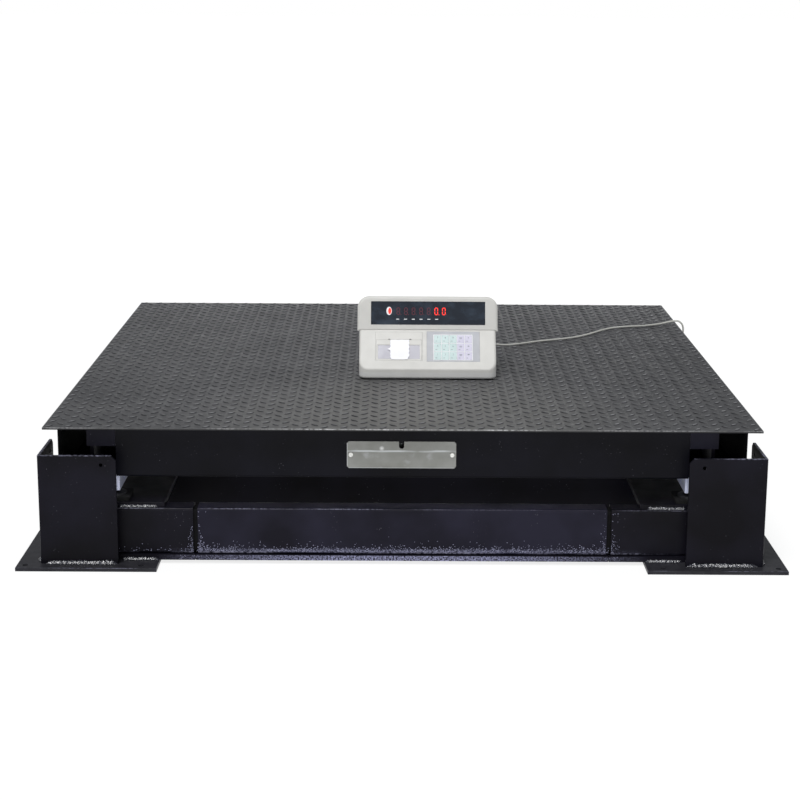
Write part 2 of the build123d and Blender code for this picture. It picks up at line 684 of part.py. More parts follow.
# The cord's route: out of the plug, down to the deck, across it, over its right edge and
# into the gland
PLUG_X = 178.0
PLUG_Z = 331.0
PLUG_W = 36.0
PLUG_H = 17.0
PLUG_L = 38.0
RELIEF_L = 18.0
RELIEF_R = 5.0
PLUG_TIP = IND_REAR + PLUG_L + RELIEF_L
CORD_Z = DECK_TOP + CORD_R + 0.5
CORD_ROUTE = [
    (PLUG_X, PLUG_TIP, PLUG_Z),
    (PLUG_X, 52, PLUG_Z),
    (196, 72, 322),
    (224, 90, 310),
    (262, 118, 301),
    (303, 154, CORD_Z),
    (352, 190, CORD_Z),
    (399, 213, CORD_Z),
    (446, 239, CORD_Z),
    (490, 284, CORD_Z),
    (524, 334, CORD_Z),
    (560, 378, CORD_Z),
    (605, 401, CORD_Z),
    (652, 411, CORD_Z),
    (696, 430, 299),
    (735, 456, 303),
    (754, 463, 303.5),
    (767, 466, 294),
    (771, 467, 276),
    (767, 468, 258),
    (756, GLAND_Y, GLAND_Z),
    (GLAND_TIP, GLAND_Y, GLAND_Z),
]


def route_radii(points):
    """Each corner's arc: 0.45 of the shorter run, over the tangent of half the turn."""
    radii = []
    for before, corner, after in zip(points, points[1:], points[2:]):
        run_in = Vector(*corner) - Vector(*before)
        run_out = Vector(*after) - Vector(*corner)
        half_turn = math.radians(run_in.get_angle(run_out)) / 2
        radii.append(0.45 * min(run_in.length, run_out.length) / math.tan(half_turn))
    return radii


cord_radii = route_radii(CORD_ROUTE)
print("cord radii, mm:", [round(radius, 1) for radius in cord_radii])
with BuildPart() as indicator_cord:
    with BuildLine() as cord_path:
        FilletPolyline(*CORD_ROUTE, radius=cord_radii)
    cord_wire = cord_path.wires()[0]
    with BuildSketch(Plane(origin=cord_wire @ 0, z_dir=cord_wire % 0)):
        Circle(CORD_R)
    sweep(path=cord_wire)
finish(indicator_cord, "indicator_cord")
cord_volume = math.pi * CORD_R ** 2 * cord_wire.length
print("cord length, mm:", round(cord_wire.length, 1))
print("cord volume over section times length:", round(indicator_cord.part.volume / cord_volume, 4))

# ---------------------------------------------------------------- indicator case

case_mid_y = (IND_FRONT + IND_REAR) / 2
case_depth = IND_REAR - IND_FRONT
with BuildPart() as case_base:
    with BuildSketch(Plane.XY.offset(IND_BASE_Z)):
        with Locations((IND_X, case_mid_y)):
            RectangleRounded(CASE_W, case_depth, CASE_R)
    extrude(amount=PARTING_Z - IND_BASE_Z)
    fillet(case_base.faces().sort_by(Axis.Z)[0].edges(), radius=BASE_EDGE_R)
    with BuildSketch(Plane.XY.offset(IND_BASE_Z + CASE_WALL)):
        with Locations((IND_X, case_mid_y)):
            RectangleRounded(CASE_W - 2 * CASE_WALL, case_depth - 2 * CASE_WALL, CASE_R - CASE_WALL)
    extrude(amount=PARTING_Z - IND_BASE_Z, mode=Mode.SUBTRACT)
finish(case_base, "case_base")

FOOT_PAD_R = 8.0
with BuildPart() as case_feet:
    with BuildSketch(Plane.XY.offset(DECK_TOP)):
        with Locations((IND_X, case_mid_y)):
            with GridLocations(CASE_W - 50.0, case_depth - 44.0, 2, 2):
                Circle(FOOT_PAD_R)
    extrude(amount=IND_FOOT)
finish(case_feet, "case_feet")

HOUSING_BACK_Z = 437.0
HOUSING_SKIRT = 180.0
HOUSING_SPARE = 12.0
housing_low = STEP_Z - 4.0
face_top = FACE.from_local_coords((0, FACE_LENGTH, 0))
face_end = FACE.from_local_coords((0, FACE_LENGTH + HOUSING_SPARE, 0))
# The housing's top falls towards the rear. On this plane, local z runs back along it and
# local y runs into the housing
top_fall = Vector(0, IND_REAR - face_top.Y, HOUSING_BACK_Z - face_top.Z).normalized()
TOP_FALL = Plane(origin=(IND_X, face_top.Y, face_top.Z), x_dir=(1, 0, 0), z_dir=top_fall)


def facing(part, direction):
    """The part's flat face whose normal is `direction`."""
    return [face for face in part.faces() if face.normal_at().dot(direction) > 0.9999][0]


def key_wedge(inset):
    """Wedge under the keys, as a solid: a round-cornered plan, cut by the slope."""
    with BuildPart() as wedge:
        with BuildSketch(Plane.XY.offset(PARTING_Z)):
            with Locations((IND_X, case_mid_y)):
                RectangleRounded(CASE_W - 2 * inset, case_depth - 2 * inset, CASE_R - inset)
        extrude(amount=STEP_Z - PARTING_Z - inset)
        split(bisect_by=SLOPE.offset(-inset), keep=Keep.BOTTOM)
        if inset == 0:
            rim = facing(wedge, SLOPE.z_dir).edges().filter_by(lambda edge: edge.center().Z < STEP_Z - 3.0)
            fillet(rim, radius=SLOPE_EDGE_R)
    return wedge.part


def display_housing(inset):
    """Display housing, as a solid: a side outline under a round-cornered falling top."""
    with BuildPart() as housing:
        with BuildSketch(Plane.YZ.offset(IND_X)):
            with BuildLine():
                Polyline(
                    (FACE.origin.Y, FACE.origin.Z),
                    (face_end.Y, face_end.Z),
                    (IND_REAR, face_end.Z),
                    (IND_REAR, housing_low),
                    (FACE.origin.Y + 1.5, housing_low),
                    close=True,
                )
            make_face()
            if inset > 0:
                offset(amount=-inset, mode=Mode.REPLACE)
        extrude(amount=HOUSING_W / 2 - inset, both=True)
        with BuildSketch(TOP_FALL):
            with Locations((0, HOUSING_SKIRT / 2)):
                RectangleRounded(HOUSING_W - 2 * inset, HOUSING_SKIRT - 2 * inset, HOUSING_TOP_R - inset)
        extrude(amount=case_depth, both=True, mode=Mode.INTERSECT)
        if inset == 0:
            rim = facing(housing, FACE.z_dir).edges().filter_by(lambda edge: edge.center().Z > STEP_Z + 3.0)
            fillet(rim, radius=FACE_EDGE_R)
            rear = facing(housing, Vector(0, 1, 0)).edges().filter_by(lambda edge: edge.center().Z > STEP_Z)
            fillet(rear, radius=REAR_EDGE_R)
    return housing.part


with BuildPart() as case_top:
    add(key_wedge(0))
    add(display_housing(0))
    add(key_wedge(CASE_WALL), mode=Mode.SUBTRACT)
    add(display_housing(CASE_WALL), mode=Mode.SUBTRACT)
    # Join the two hollows, and cut the printer, keypad and display openings
    with Locations((IND_X, (STEP_Y + 14.0 + IND_REAR - 6.0) / 2, STEP_Z - 2.0)):
        Box(CASE_W - 2 * CASE_WALL - 8.0, IND_REAR - STEP_Y - 26.0, 18.0, mode=Mode.SUBTRACT)
    with BuildSketch(SLOPE.offset(2.0)):
        with Locations((PRINTER_X, PANEL_S)):
            Rectangle(PRINTER_W - 4.0, PANEL_L - 4.0)
        with Locations((KEYPAD_X, PANEL_S)):
            Rectangle(KEYPAD_W + 0.6, PANEL_L + 0.6)
    extrude(amount=-CASE_WALL - 4.0, mode=Mode.SUBTRACT)
    with BuildSketch(FACE.offset(2.0)):
        with Locations((WINDOW_FACE_X, WINDOW_FACE_S)):
            Rectangle(WINDOW_FACE_W, WINDOW_FACE_L)
    extrude(amount=-CASE_WALL - 4.0, mode=Mode.SUBTRACT)
    with BuildSketch(Plane.XZ.offset(-IND_REAR)):
        with Locations((SWITCH_X, SWITCH_Z)):
            Rectangle(SWITCH_W + 0.8, SWITCH_H + 0.8)
    extrude(amount=CASE_WALL + 1.0, mode=Mode.SUBTRACT)
finish(case_top, "case_top")

# ---------------------------------------------------------------- display

WINDOW_GAP = 0.3
with BuildPart() as display_window:
    with BuildSketch(FACE.offset(-0.6)):
        with Locations((WINDOW_FACE_X, WINDOW_FACE_S)):
            Rectangle(WINDOW_FACE_W - 2 * WINDOW_GAP, WINDOW_FACE_L - 2 * WINDOW_GAP)
    extrude(amount=-2.2)
finish(display_window, "display_window")

DIGITS = 7
DIGIT_PITCH = 17.9
DIGIT_W = 15.0
DIGIT_L = 22.0
DIGIT_T = 7.0
DIGITS_X = -15.6  # middle of the digit row
DIGITS_S = 43.0
with BuildPart() as display_board:
    with BuildSketch(FACE.offset(-4.0)):
        with Locations((DIGITS_X, DIGITS_S)):
            with GridLocations(DIGIT_PITCH, 1.0, DIGITS, 1):
                Rectangle(DIGIT_W, DIGIT_L)
    extrude(amount=-DIGIT_T)
    with BuildSketch(FACE.offset(-4.0 - DIGIT_T)):
        with Locations((WINDOW_FACE_X, WINDOW_FACE_S)):
            Rectangle(WINDOW_FACE_W - 20.0, WINDOW_FACE_L - 6.0)
    extrude(amount=-1.6)
finish(display_board, "display_board")

# ---------------------------------------------------------------- keypad

key_w = KEY_PITCH_X - KEY_GAP
key_l = KEY_PITCH_S - KEY_GAP
with BuildPart() as keypad_panel:
    with BuildSketch(SLOPE):
        with Locations((KEYPAD_X, PANEL_S)):
            Rectangle(KEYPAD_W, PANEL_L)
        with Locations((KEYS_X, KEYS_S)):
            with GridLocations(KEY_PITCH_X, KEY_PITCH_S, KEY_COLUMNS, KEY_ROWS):
                Rectangle(key_w + 2 * KEY_SLOT_GAP, key_l + 2 * KEY_SLOT_GAP, mode=Mode.SUBTRACT)
    extrude(amount=-PANEL_T)
finish(keypad_panel, "keypad_panel")

for row in range(KEY_ROWS):
    for column in range(KEY_COLUMNS):
        key_x = KEYS_X + (column - (KEY_COLUMNS - 1) / 2) * KEY_PITCH_X
        key_s = KEYS_S + ((KEY_ROWS - 1) / 2 - row) * KEY_PITCH_S
        with BuildPart() as key:
            with BuildSketch(SLOPE.offset(KEY_PROUD)):
                with Locations((key_x, key_s)):
                    RectangleRounded(key_w, key_l, 1.2)
            extrude(amount=-KEY_T)
            chamfer(key.faces().sort_by(SLOPE_NORMAL)[-1].edges(), length=0.4)
        finish(key, f"key_{row + 1}{column + 1}")

# ---------------------------------------------------------------- printer

# Tray behind the panel: holds the roll, frames the opening and carries the door's two pins
TRAY_DEPTH = 44.0
TRAY_WALL = 1.6
HINGE_S = 25.0
PIN_R = 0.6
tray_in_w = PRINTER_W - 4.6 - 2 * TRAY_WALL
door_w = tray_in_w - 2 * DOOR_GAP
hinge_line = SLOPE.from_local_coords((PRINTER_X, HINGE_S, 0))
pin_reach = tray_in_w / 2 + TRAY_WALL - 0.2


def hinge_pins(radius, root):
    """Two pins on the door's hinge line, from `root` out to the tray's walls."""
    for side in (-1, 1):
        with BuildSketch(Plane.YZ.offset(hinge_line.X + side * root)) as section:
            with Locations((hinge_line.Y, hinge_line.Z)):
                Circle(radius)
        yield section.sketch, side * (pin_reach - root)


with BuildPart() as printer_tray:
    with BuildSketch(SLOPE):
        with Locations((PRINTER_X, PANEL_S)):
            Rectangle(PRINTER_W - 4.6, PANEL_L - 4.6)
    extrude(amount=-TRAY_DEPTH)
    with BuildSketch(SLOPE):
        with Locations((PRINTER_X, PANEL_S)):
            Rectangle(PRINTER_W - 4.6 - 2 * TRAY_WALL, PANEL_L - 4.6 - 2 * TRAY_WALL)
    extrude(amount=-TRAY_DEPTH + TRAY_WALL, mode=Mode.SUBTRACT)
    for section, reach in hinge_pins(PIN_R + RUNNING_GAP, door_w / 2 - 1.0):
        extrude(section, amount=reach, mode=Mode.SUBTRACT)
finish(printer_tray, "printer_tray")

# Print head block under the fixed upper bezel, with the tear bar along its lower edge
tray_top = PANEL_S + (PANEL_L - 4.6) / 2 - TRAY_WALL
bezel_low = DOOR_HIGH + DOOR_GAP
with BuildPart() as printer_head:
    with BuildSketch(SLOPE):
        with Locations((PRINTER_X, (bezel_low + tray_top) / 2)):
            Rectangle(PRINTER_W - 4.6 - 2 * TRAY_WALL, tray_top - bezel_low)
    extrude(amount=-2.4)
    with BuildSketch(SLOPE.offset(-2.4)):
        with Locations((PAPER_X, (bezel_low + tray_top) / 2)):
            Rectangle(70.0, tray_top - bezel_low)
    extrude(amount=-24.0)
    with BuildSketch(SLOPE.offset(0.8)):
        with Locations((PAPER_X, bezel_low + 1.0)):
            Rectangle(56.0, 2.0)
    extrude(amount=-0.8)
finish(printer_head, "printer_head")

# Door: hinged along its lower edge, with a shallow well where the slip lies
WELL_W = 100.0
WELL_L = 38.0
WELL_DEPTH = 1.0
WELL_S = 46.0
with BuildPart() as printer_door:
    with BuildSketch(SLOPE):
        with Locations((PRINTER_X, (HINGE_S + DOOR_HIGH) / 2)):
            Rectangle(door_w, DOOR_HIGH - HINGE_S)
    extrude(amount=-DOOR_T)
    for section, reach in hinge_pins(PIN_R, door_w / 2 - 0.6):
        extrude(section, amount=reach)
    with BuildSketch(SLOPE):
        with Locations((PRINTER_X, WELL_S)):
            Rectangle(WELL_W, WELL_L)
    extrude(amount=-WELL_DEPTH, mode=Mode.SUBTRACT)
finish(printer_door, "printer_door")

roll_centre = SLOPE.from_local_coords((PAPER_X, ROLL_S, -ROLL_DEPTH))
with BuildPart() as paper_roll:
    with BuildSketch(Plane.YZ.offset(roll_centre.X)):
        with Locations((roll_centre.Y, roll_centre.Z)):
            Circle(ROLL_R)
            Circle(ROLL_CORE_R, mode=Mode.SUBTRACT)
    extrude(amount=PAPER_W / 2, both=True)
finish(paper_roll, "paper_roll")

# Spindle that the roll turns on, from wall to wall of the tray
with BuildPart() as roll_spindle:
    with BuildSketch(Plane.YZ.offset(IND_X + PRINTER_X)):
        with Locations((roll_centre.Y, roll_centre.Z)):
            Circle(ROLL_CORE_R - RUNNING_GAP)
    extrude(amount=tray_in_w / 2, both=True)
finish(roll_spindle, "roll_spindle")

# Printed slip: a thin strip over the door, from the tear bar down to the door's hinge
STRIP_LOW = 25.3
SLIP_T = 0.3
with BuildPart() as paper_slip:
    with BuildSketch(SLOPE.offset(0.3)):
        with Locations((PAPER_X, (STRIP_LOW + DOOR_HIGH) / 2)):
            Rectangle(PAPER_W, DOOR_HIGH - STRIP_LOW)
    extrude(amount=SLIP_T)
finish(paper_slip, "paper_slip")

# ---------------------------------------------------------------- inside and rear

BOARD_W = 250.0
BOARD_L = 120.0
BOARD_T = 1.6
BOARD_STANDOFF = 5.0
board_z = IND_BASE_Z + CASE_WALL
board_y = IND_REAR - 76.0
with BuildPart() as main_board:
    with BuildSketch(Plane.XY.offset(board_z)):
        with Locations((IND_X, board_y)):
            with GridLocations(BOARD_W - 16.0, BOARD_L - 16.0, 2, 2):
                Circle(3.5)
    extrude(amount=BOARD_STANDOFF)
    with BuildSketch(Plane.XY.offset(board_z + BOARD_STANDOFF)):
        with Locations((IND_X, board_y)):
            Rectangle(BOARD_W, BOARD_L)
    extrude(amount=BOARD_T)
    with Locations((IND_X - 80.0, board_y + 10.0, board_z + BOARD_STANDOFF + BOARD_T + 20.0)):
        Box(62.0, 52.0, 40.0)
    with Locations((IND_X + 40.0, board_y, board_z + BOARD_STANDOFF + BOARD_T + 6.0)):
        Box(50.0, 40.0, 12.0)
finish(main_board, "main_board")

with BuildPart() as signal_plug:
    with Locations((PLUG_X, IND_REAR + PLUG_L / 2, PLUG_Z)):
        Box(PLUG_W, PLUG_L, PLUG_H)
    fillet(signal_plug.edges().filter_by(Axis.Y), radius=3.0)
    with BuildSketch(Plane.XZ.offset(-(IND_REAR + PLUG_L))):
        with Locations((PLUG_X, PLUG_Z)):
            Circle(RELIEF_R)
    with BuildSketch(Plane.XZ.offset(-(PLUG_TIP))):
        with Locations((PLUG_X, PLUG_Z)):
            Circle(CORD_R + 0.8)
    loft()
finish(signal_plug, "signal_plug")

# Mains switch on the rear wall: a frame, and the rocker that tips on its two pins in it
ROCKER_PIN_R = 0.9
ROCKER_PIN_L = 1.5
rocker_axis_y = IND_REAR + 2.0
with BuildPart() as switch_frame:
    with BuildSketch(Plane.XZ.offset(-IND_REAR)):
        with Locations((SWITCH_X, SWITCH_Z)):
            RectangleRounded(SWITCH_W + 6.0, SWITCH_H + 6.0, 1.5)
            Rectangle(SWITCH_W + 0.8, SWITCH_H + 0.8, mode=Mode.SUBTRACT)
    extrude(amount=-6.0)
    with BuildSketch(Plane.YZ.offset(SWITCH_X)):
        with Locations((rocker_axis_y, SWITCH_Z)):
            Circle(ROCKER_PIN_R + RUNNING_GAP)
    extrude(amount=SWITCH_W / 2 + ROCKER_PIN_L + 0.2, both=True, mode=Mode.SUBTRACT)
finish(switch_frame, "switch_frame")

with BuildPart() as power_switch:
    with BuildSketch(Plane.YZ.offset(SWITCH_X)):
        with BuildLine():
            Polyline(
                (IND_REAR + 1.2, SWITCH_Z - SWITCH_H / 2 + 0.8),
                (IND_REAR + 5.0, SWITCH_Z - SWITCH_H / 2 + 0.8),
                (IND_REAR + 6.2, SWITCH_Z),
                (IND_REAR + 8.6, SWITCH_Z + SWITCH_H / 2 - 1.2),
                (IND_REAR + 1.2, SWITCH_Z + SWITCH_H / 2 - 1.2),
                close=True,
            )
        make_face()
    extrude(amount=SWITCH_W / 2, both=True)
    with BuildSketch(Plane.YZ.offset(SWITCH_X)):
        with Locations((rocker_axis_y, SWITCH_Z)):
            Circle(ROCKER_PIN_R)
    extrude(amount=SWITCH_W / 2 + ROCKER_PIN_L, both=True)
finish(power_switch, "power_switch")
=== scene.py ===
import json
import math
import random

import bmesh
import bpy
from mathutils import Matrix, Vector, noise


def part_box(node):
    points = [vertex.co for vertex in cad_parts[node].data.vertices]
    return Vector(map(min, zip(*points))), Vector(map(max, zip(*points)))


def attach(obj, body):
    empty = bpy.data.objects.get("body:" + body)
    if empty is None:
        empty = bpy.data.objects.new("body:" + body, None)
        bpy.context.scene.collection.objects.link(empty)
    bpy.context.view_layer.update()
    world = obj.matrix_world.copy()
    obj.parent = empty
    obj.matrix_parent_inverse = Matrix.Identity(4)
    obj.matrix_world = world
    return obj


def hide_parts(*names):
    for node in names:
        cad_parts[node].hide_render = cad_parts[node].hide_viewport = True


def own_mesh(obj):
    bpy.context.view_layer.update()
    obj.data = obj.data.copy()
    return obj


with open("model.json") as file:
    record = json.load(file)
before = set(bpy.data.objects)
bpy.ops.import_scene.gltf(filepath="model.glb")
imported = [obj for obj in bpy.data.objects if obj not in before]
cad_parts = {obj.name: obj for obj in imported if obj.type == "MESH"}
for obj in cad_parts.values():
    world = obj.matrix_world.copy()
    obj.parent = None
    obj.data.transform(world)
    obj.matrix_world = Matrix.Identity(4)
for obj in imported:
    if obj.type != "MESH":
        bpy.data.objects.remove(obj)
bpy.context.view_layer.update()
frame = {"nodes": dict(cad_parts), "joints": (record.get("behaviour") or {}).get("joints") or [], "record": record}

# Double-deck pallet scale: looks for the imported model. Everything is in metres.
# -Y is the front, where the keys and the access cover face, and +X is to the right.

MM = 0.001
DECK = "deck"
BASE = "base"


# ---- places on the object

def pane(origin, tilt):
    """Plane that faces the front: local x is +X, y runs up it, and z points out of it."""
    up = Vector((0.0, math.cos(tilt), math.sin(tilt)))
    out = Vector((0.0, -math.sin(tilt), math.cos(tilt)))
    return Matrix((
        (1.0, 0.0, 0.0, origin[0]),
        (0.0, up.y, out.y, origin[1]),
        (0.0, up.z, out.z, origin[2]),
        (0.0, 0.0, 0.0, 1.0),
    ))


def middle(node):
    """Middle of a CAD node's box."""
    low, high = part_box(node)
    return (low + high) / 2


SLOPE_TILT = math.radians(50.0)
FACE_TILT = math.radians(70.0)
WINDOW_T = 2.2 * MM

joints = {joint["name"]: joint for joint in frame["joints"]}
hinge = Vector(joints["printer_door_hinge"]["pos_m"])
window_low, window_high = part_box("display_window")
window_rise = (window_high - window_low).z - WINDOW_T * math.cos(FACE_TILT)

# The key slope, with its origin on the printer door's hinge line, and the display window's
# front face, with its origin in the window's middle
SLOPE = pane((middle("case_base").x, hinge.y, hinge.z), SLOPE_TILT)
WINDOW_FOOT_Z = window_low.z + WINDOW_T * math.cos(FACE_TILT)
FACE = pane((middle("display_window").x, window_low.y, WINDOW_FOOT_Z), FACE_TILT)
FACE = FACE @ Matrix.Translation((0.0, window_rise / math.sin(FACE_TILT) / 2, 0.0))

deck_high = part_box("deck_plate")[1]
plate_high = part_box("base_plates")[1]
post_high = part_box("corner_posts")[1]
rail_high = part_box("right_rail")[1]
strip_low, strip_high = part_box("bottom_strips")
seat_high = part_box("seat_plates")[1]
beam_low, beam_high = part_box("end_beams")
cover_low, cover_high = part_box("access_cover")
CORNERS = [(-1, -1), (1, -1), (-1, 1), (1, 1)]


# ---- finishes

# How a texture is stretched for grain that runs along one axis
ALONG_X = (0.05, 1.0, 1.0)
ALONG_Y = (1.0, 0.05, 1.0)
ALONG_Z = (1.0, 1.0, 0.05)

# Edges where the paint is rubbed off and painted highlights stand for light catching them, and how strong the
# marks are there
EDGE = 0.05 * MM  # over which a wear mask fades
POST_RIM_Z = post_high.z - 1.1 * MM
POST_INNER = post_high.x - 7.0 * MM
POST_RIM_SHARE = 0.5
PLATE_RIM_Z = plate_high.z - 1.2 * MM
PLATE_RIM = plate_high.x - 0.9 * MM
PLATE_RIM_SHARE = 0.6
BEAM_RIM = beam_high.y - 3.2 * MM
CREST_SHARE = 0.4
DECK_RIM_Z = deck_high.z - 2.2 * MM
DECK_RIM = deck_high.x - 1.6 * MM
RAIL_INNER = rail_high.x - 2.0 * MM  # the rails' faces further in than this are painted near-black as shade, and dull

# Distances from the middle of a beam: its pale spatter and painted reflection are whole up to the first and gone
# at the second
SPATTER_REFLECTION_FULL = 150.0 * MM
SPATTER_REFLECTION_NONE = 520.0 * MM

# Places on the deck
TRAFFIC = (0.02, -0.62, deck_high.z)  # middle of the dustiest part
# Middle of the painted shade towards the deck's right side
DECK_SHADE_SPOT = (0.8, 0.0, deck_high.z)
FRONT_RUB_AND_GLINT = (0.02, -deck_high.y, deck_high.z)  # middle of the front edge's rubbed paint and painted highlight
LENTIL_H = 1.8 * MM


def srgb(red, green, blue):
    """Linear colour of an 8-bit display colour."""
    channels = [value / 255 for value in (red, green, blue)]
    linear = [c / 12.92 if c <= 0.04045 else ((c + 0.055) / 1.055) ** 2.4 for c in channels]
    return (*linear, 1.0)


class Finish:
    """A Principled material, with short calls for the nodes that feed it."""

    def __init__(self, name, colour, roughness, specular=0.5, metallic=0.0, coat=0.0):
        self.material = bpy.data.materials.new(name)
        self.material.use_nodes = True
        self.tree = self.material.node_tree
        self.shader = self.tree.nodes["Principled BSDF"]
        self.set({"Base Color": colour, "Roughness": roughness, "Specular IOR Level": specular,
                  "Metallic": metallic, "Coat Weight": coat})
        self.place = self.node("ShaderNodeTexCoord").outputs["Object"]
        self.relief = None

    def set(self, constants):
        for socket, value in constants.items():
            self.shader.inputs[socket].default_value = value

    def node(self, kind, **settings):
        made = self.tree.nodes.new(kind)
        for key, value in settings.items():
            setattr(made, key, value)
        return made

    def feed(self, socket, value):
        """Give a socket a constant or another node's output."""
        if isinstance(value, bpy.types.NodeSocket):
            self.tree.links.new(value, socket)
        else:
            socket.default_value = value

    def stretched(self, stretch):
        mapping = self.node("ShaderNodeMapping")
        self.feed(mapping.inputs["Vector"], self.place)
        mapping.inputs["Scale"].default_value = stretch
        return mapping.outputs["Vector"]

    def noise(self, feature, detail=2.0, stretch=(1.0, 1.0, 1.0)):
        """Soft noise with features about `feature` metres across."""
        texture = self.node("ShaderNodeTexNoise")
        texture.inputs["Scale"].default_value = 1.0 / feature
        texture.inputs["Detail"].default_value = detail
        self.feed(texture.inputs["Vector"], self.stretched(stretch))
        return texture.outputs["Fac"]

    def cells(self, feature, stretch=(1.0, 1.0, 1.0)):
        """Distance from scattered points about `feature` metres apart."""
        texture = self.node("ShaderNodeTexVoronoi")
        texture.inputs["Scale"].default_value = 1.0 / feature
        self.feed(texture.inputs["Vector"], self.stretched(stretch))
        return texture.outputs["Distance"]

    def ranged(self, value, low, high, to_low=0.0, to_high=1.0):
        made = self.node("ShaderNodeMapRange")
        for socket, number in zip(made.inputs[1:5], (low, high, to_low, to_high)):
            socket.default_value = number
        self.feed(made.inputs[0], value)
        return made.outputs[0]

    def away(self, letter):
        """Distance from the object's middle along one axis, or the larger of x and y for `xy`."""
        parts = self.node("ShaderNodeSeparateXYZ")
        self.feed(parts.inputs[0], self.place)
        spans = [self.maths("ABSOLUTE", parts.outputs["XYZ".index(one)], 0.0) for one in letter.upper()]
        return spans[0] if len(spans) == 1 else self.maths("MAXIMUM", spans[0], spans[1])

    def rim(self, height, outward):
        """1 on the surfaces above `height` and further out than `outward`, in metres."""
        above = self.ranged(self.away("z"), height, height + EDGE)
        beyond = self.ranged(self.away("xy"), outward, outward + EDGE)
        return self.times(above, beyond)

    def broken_marks(self, feature, low, high):
        """Broken marks, for rubbed paint and painted highlights on edges: fine chips where a wide noise allows
        them.
        """
        chips = self.ranged(self.noise(feature, detail=5.0), low, high)
        where = self.ranged(self.noise(170 * MM, detail=2.0), 0.4, 0.6)
        return self.times(chips, where)

    def near(self, point, full, none):
        """1 within `full` metres of a point, falling to 0 at `none`."""
        reach = self.node("ShaderNodeVectorMath", operation="DISTANCE")
        self.feed(reach.inputs[0], self.place)
        reach.inputs[1].default_value = point
        return self.ranged(reach.outputs["Value"], full, none, 1.0, 0.0)

    def band(self, value, middle_value, half):
        """1 where a value is within `half` of `middle_value`, with soft ends."""
        offset = self.maths("ABSOLUTE", self.maths("SUBTRACT", value, middle_value), 0.0)
        return self.ranged(offset, half, 1.4 * half, 1.0, 0.0)

    def maths(self, operation, first, second):
        made = self.node("ShaderNodeMath", operation=operation)
        self.feed(made.inputs[0], first)
        self.feed(made.inputs[1], second)
        return made.outputs[0]

    def times(self, first, second):
        return self.maths("MULTIPLY", first, second)

    def mix(self, factor, first, second):
        made = self.node("ShaderNodeMix", data_type="RGBA")
        self.feed(made.inputs[0], factor)
        self.feed(made.inputs[6], first)
        self.feed(made.inputs[7], second)
        return made.outputs[2]

    def colour(self, value):
        self.feed(self.shader.inputs["Base Color"], value)

    def roughness(self, value):
        self.feed(self.shader.inputs["Roughness"], value)

    def bump(self, height, distance, strength=1.0):
        """Add relief of that depth in metres, on top of what is there."""
        made = self.node("ShaderNodeBump")
        made.inputs["Distance"].default_value = distance
        made.inputs["Strength"].default_value = strength
        self.feed(made.inputs["Height"], height)
        if self.relief is not None:
            self.feed(made.inputs["Normal"], self.relief)
        self.relief = made.outputs["Normal"]
        self.feed(self.shader.inputs["Normal"], self.relief)


def rims_worn_and_highlit(paint, height):
    """Where the frame's paint is chipped and painted highlights stand for light on the edges: the rims of the
    posts, plates and centre beams.
    """
    post_rim = paint.times(paint.rim(POST_RIM_Z, POST_INNER), POST_RIM_SHARE)
    plate_rim = paint.times(paint.rim(PLATE_RIM_Z, PLATE_RIM), PLATE_RIM_SHARE)
    rim_middle = (BEAM_RIM + beam_high.y) / 2
    on_beam = paint.band(paint.away("xy"), rim_middle, 0.6 * (beam_high.y - BEAM_RIM))
    beam_foot = paint.band(height, beam_low.z + 3.2 * MM, 1.8 * MM)
    beam_crest = paint.times(paint.band(height, beam_high.z - 1.4 * MM, 0.7 * MM), CREST_SHARE)
    beam_rims = paint.times(on_beam, paint.maths("MAXIMUM", beam_foot, beam_crest))
    rims = paint.maths("MAXIMUM", paint.maths("MAXIMUM", post_rim, plate_rim), beam_rims)
    return paint.times(rims, paint.broken_marks(5 * MM, 0.4, 0.6))


def spatter_and_reflection(paint, height):
    """Where fine spatter and a painted reflection lie: low on the outer faces of the centre beams and strips."""
    low_down = paint.ranged(height, beam_low.z + 1.0 * MM, beam_low.z + 14.0 * MM, 1.0, 0.0)
    off_gap = paint.maths("SUBTRACT", 1.0, paint.band(height, strip_high.z + 1.5 * MM, 2.0 * MM))
    outer = paint.ranged(paint.away("xy"), BEAM_RIM, BEAM_RIM + 0.1 * MM)
    central = paint.ranged(paint.away("x"), SPATTER_REFLECTION_FULL, SPATTER_REFLECTION_NONE, 1.0, 0.0)
    where = paint.times(paint.times(low_down, off_gap), paint.times(outer, central))
    return paint.times(where, paint.ranged(paint.noise(3.4 * MM, detail=5.0), 0.4, 0.62))


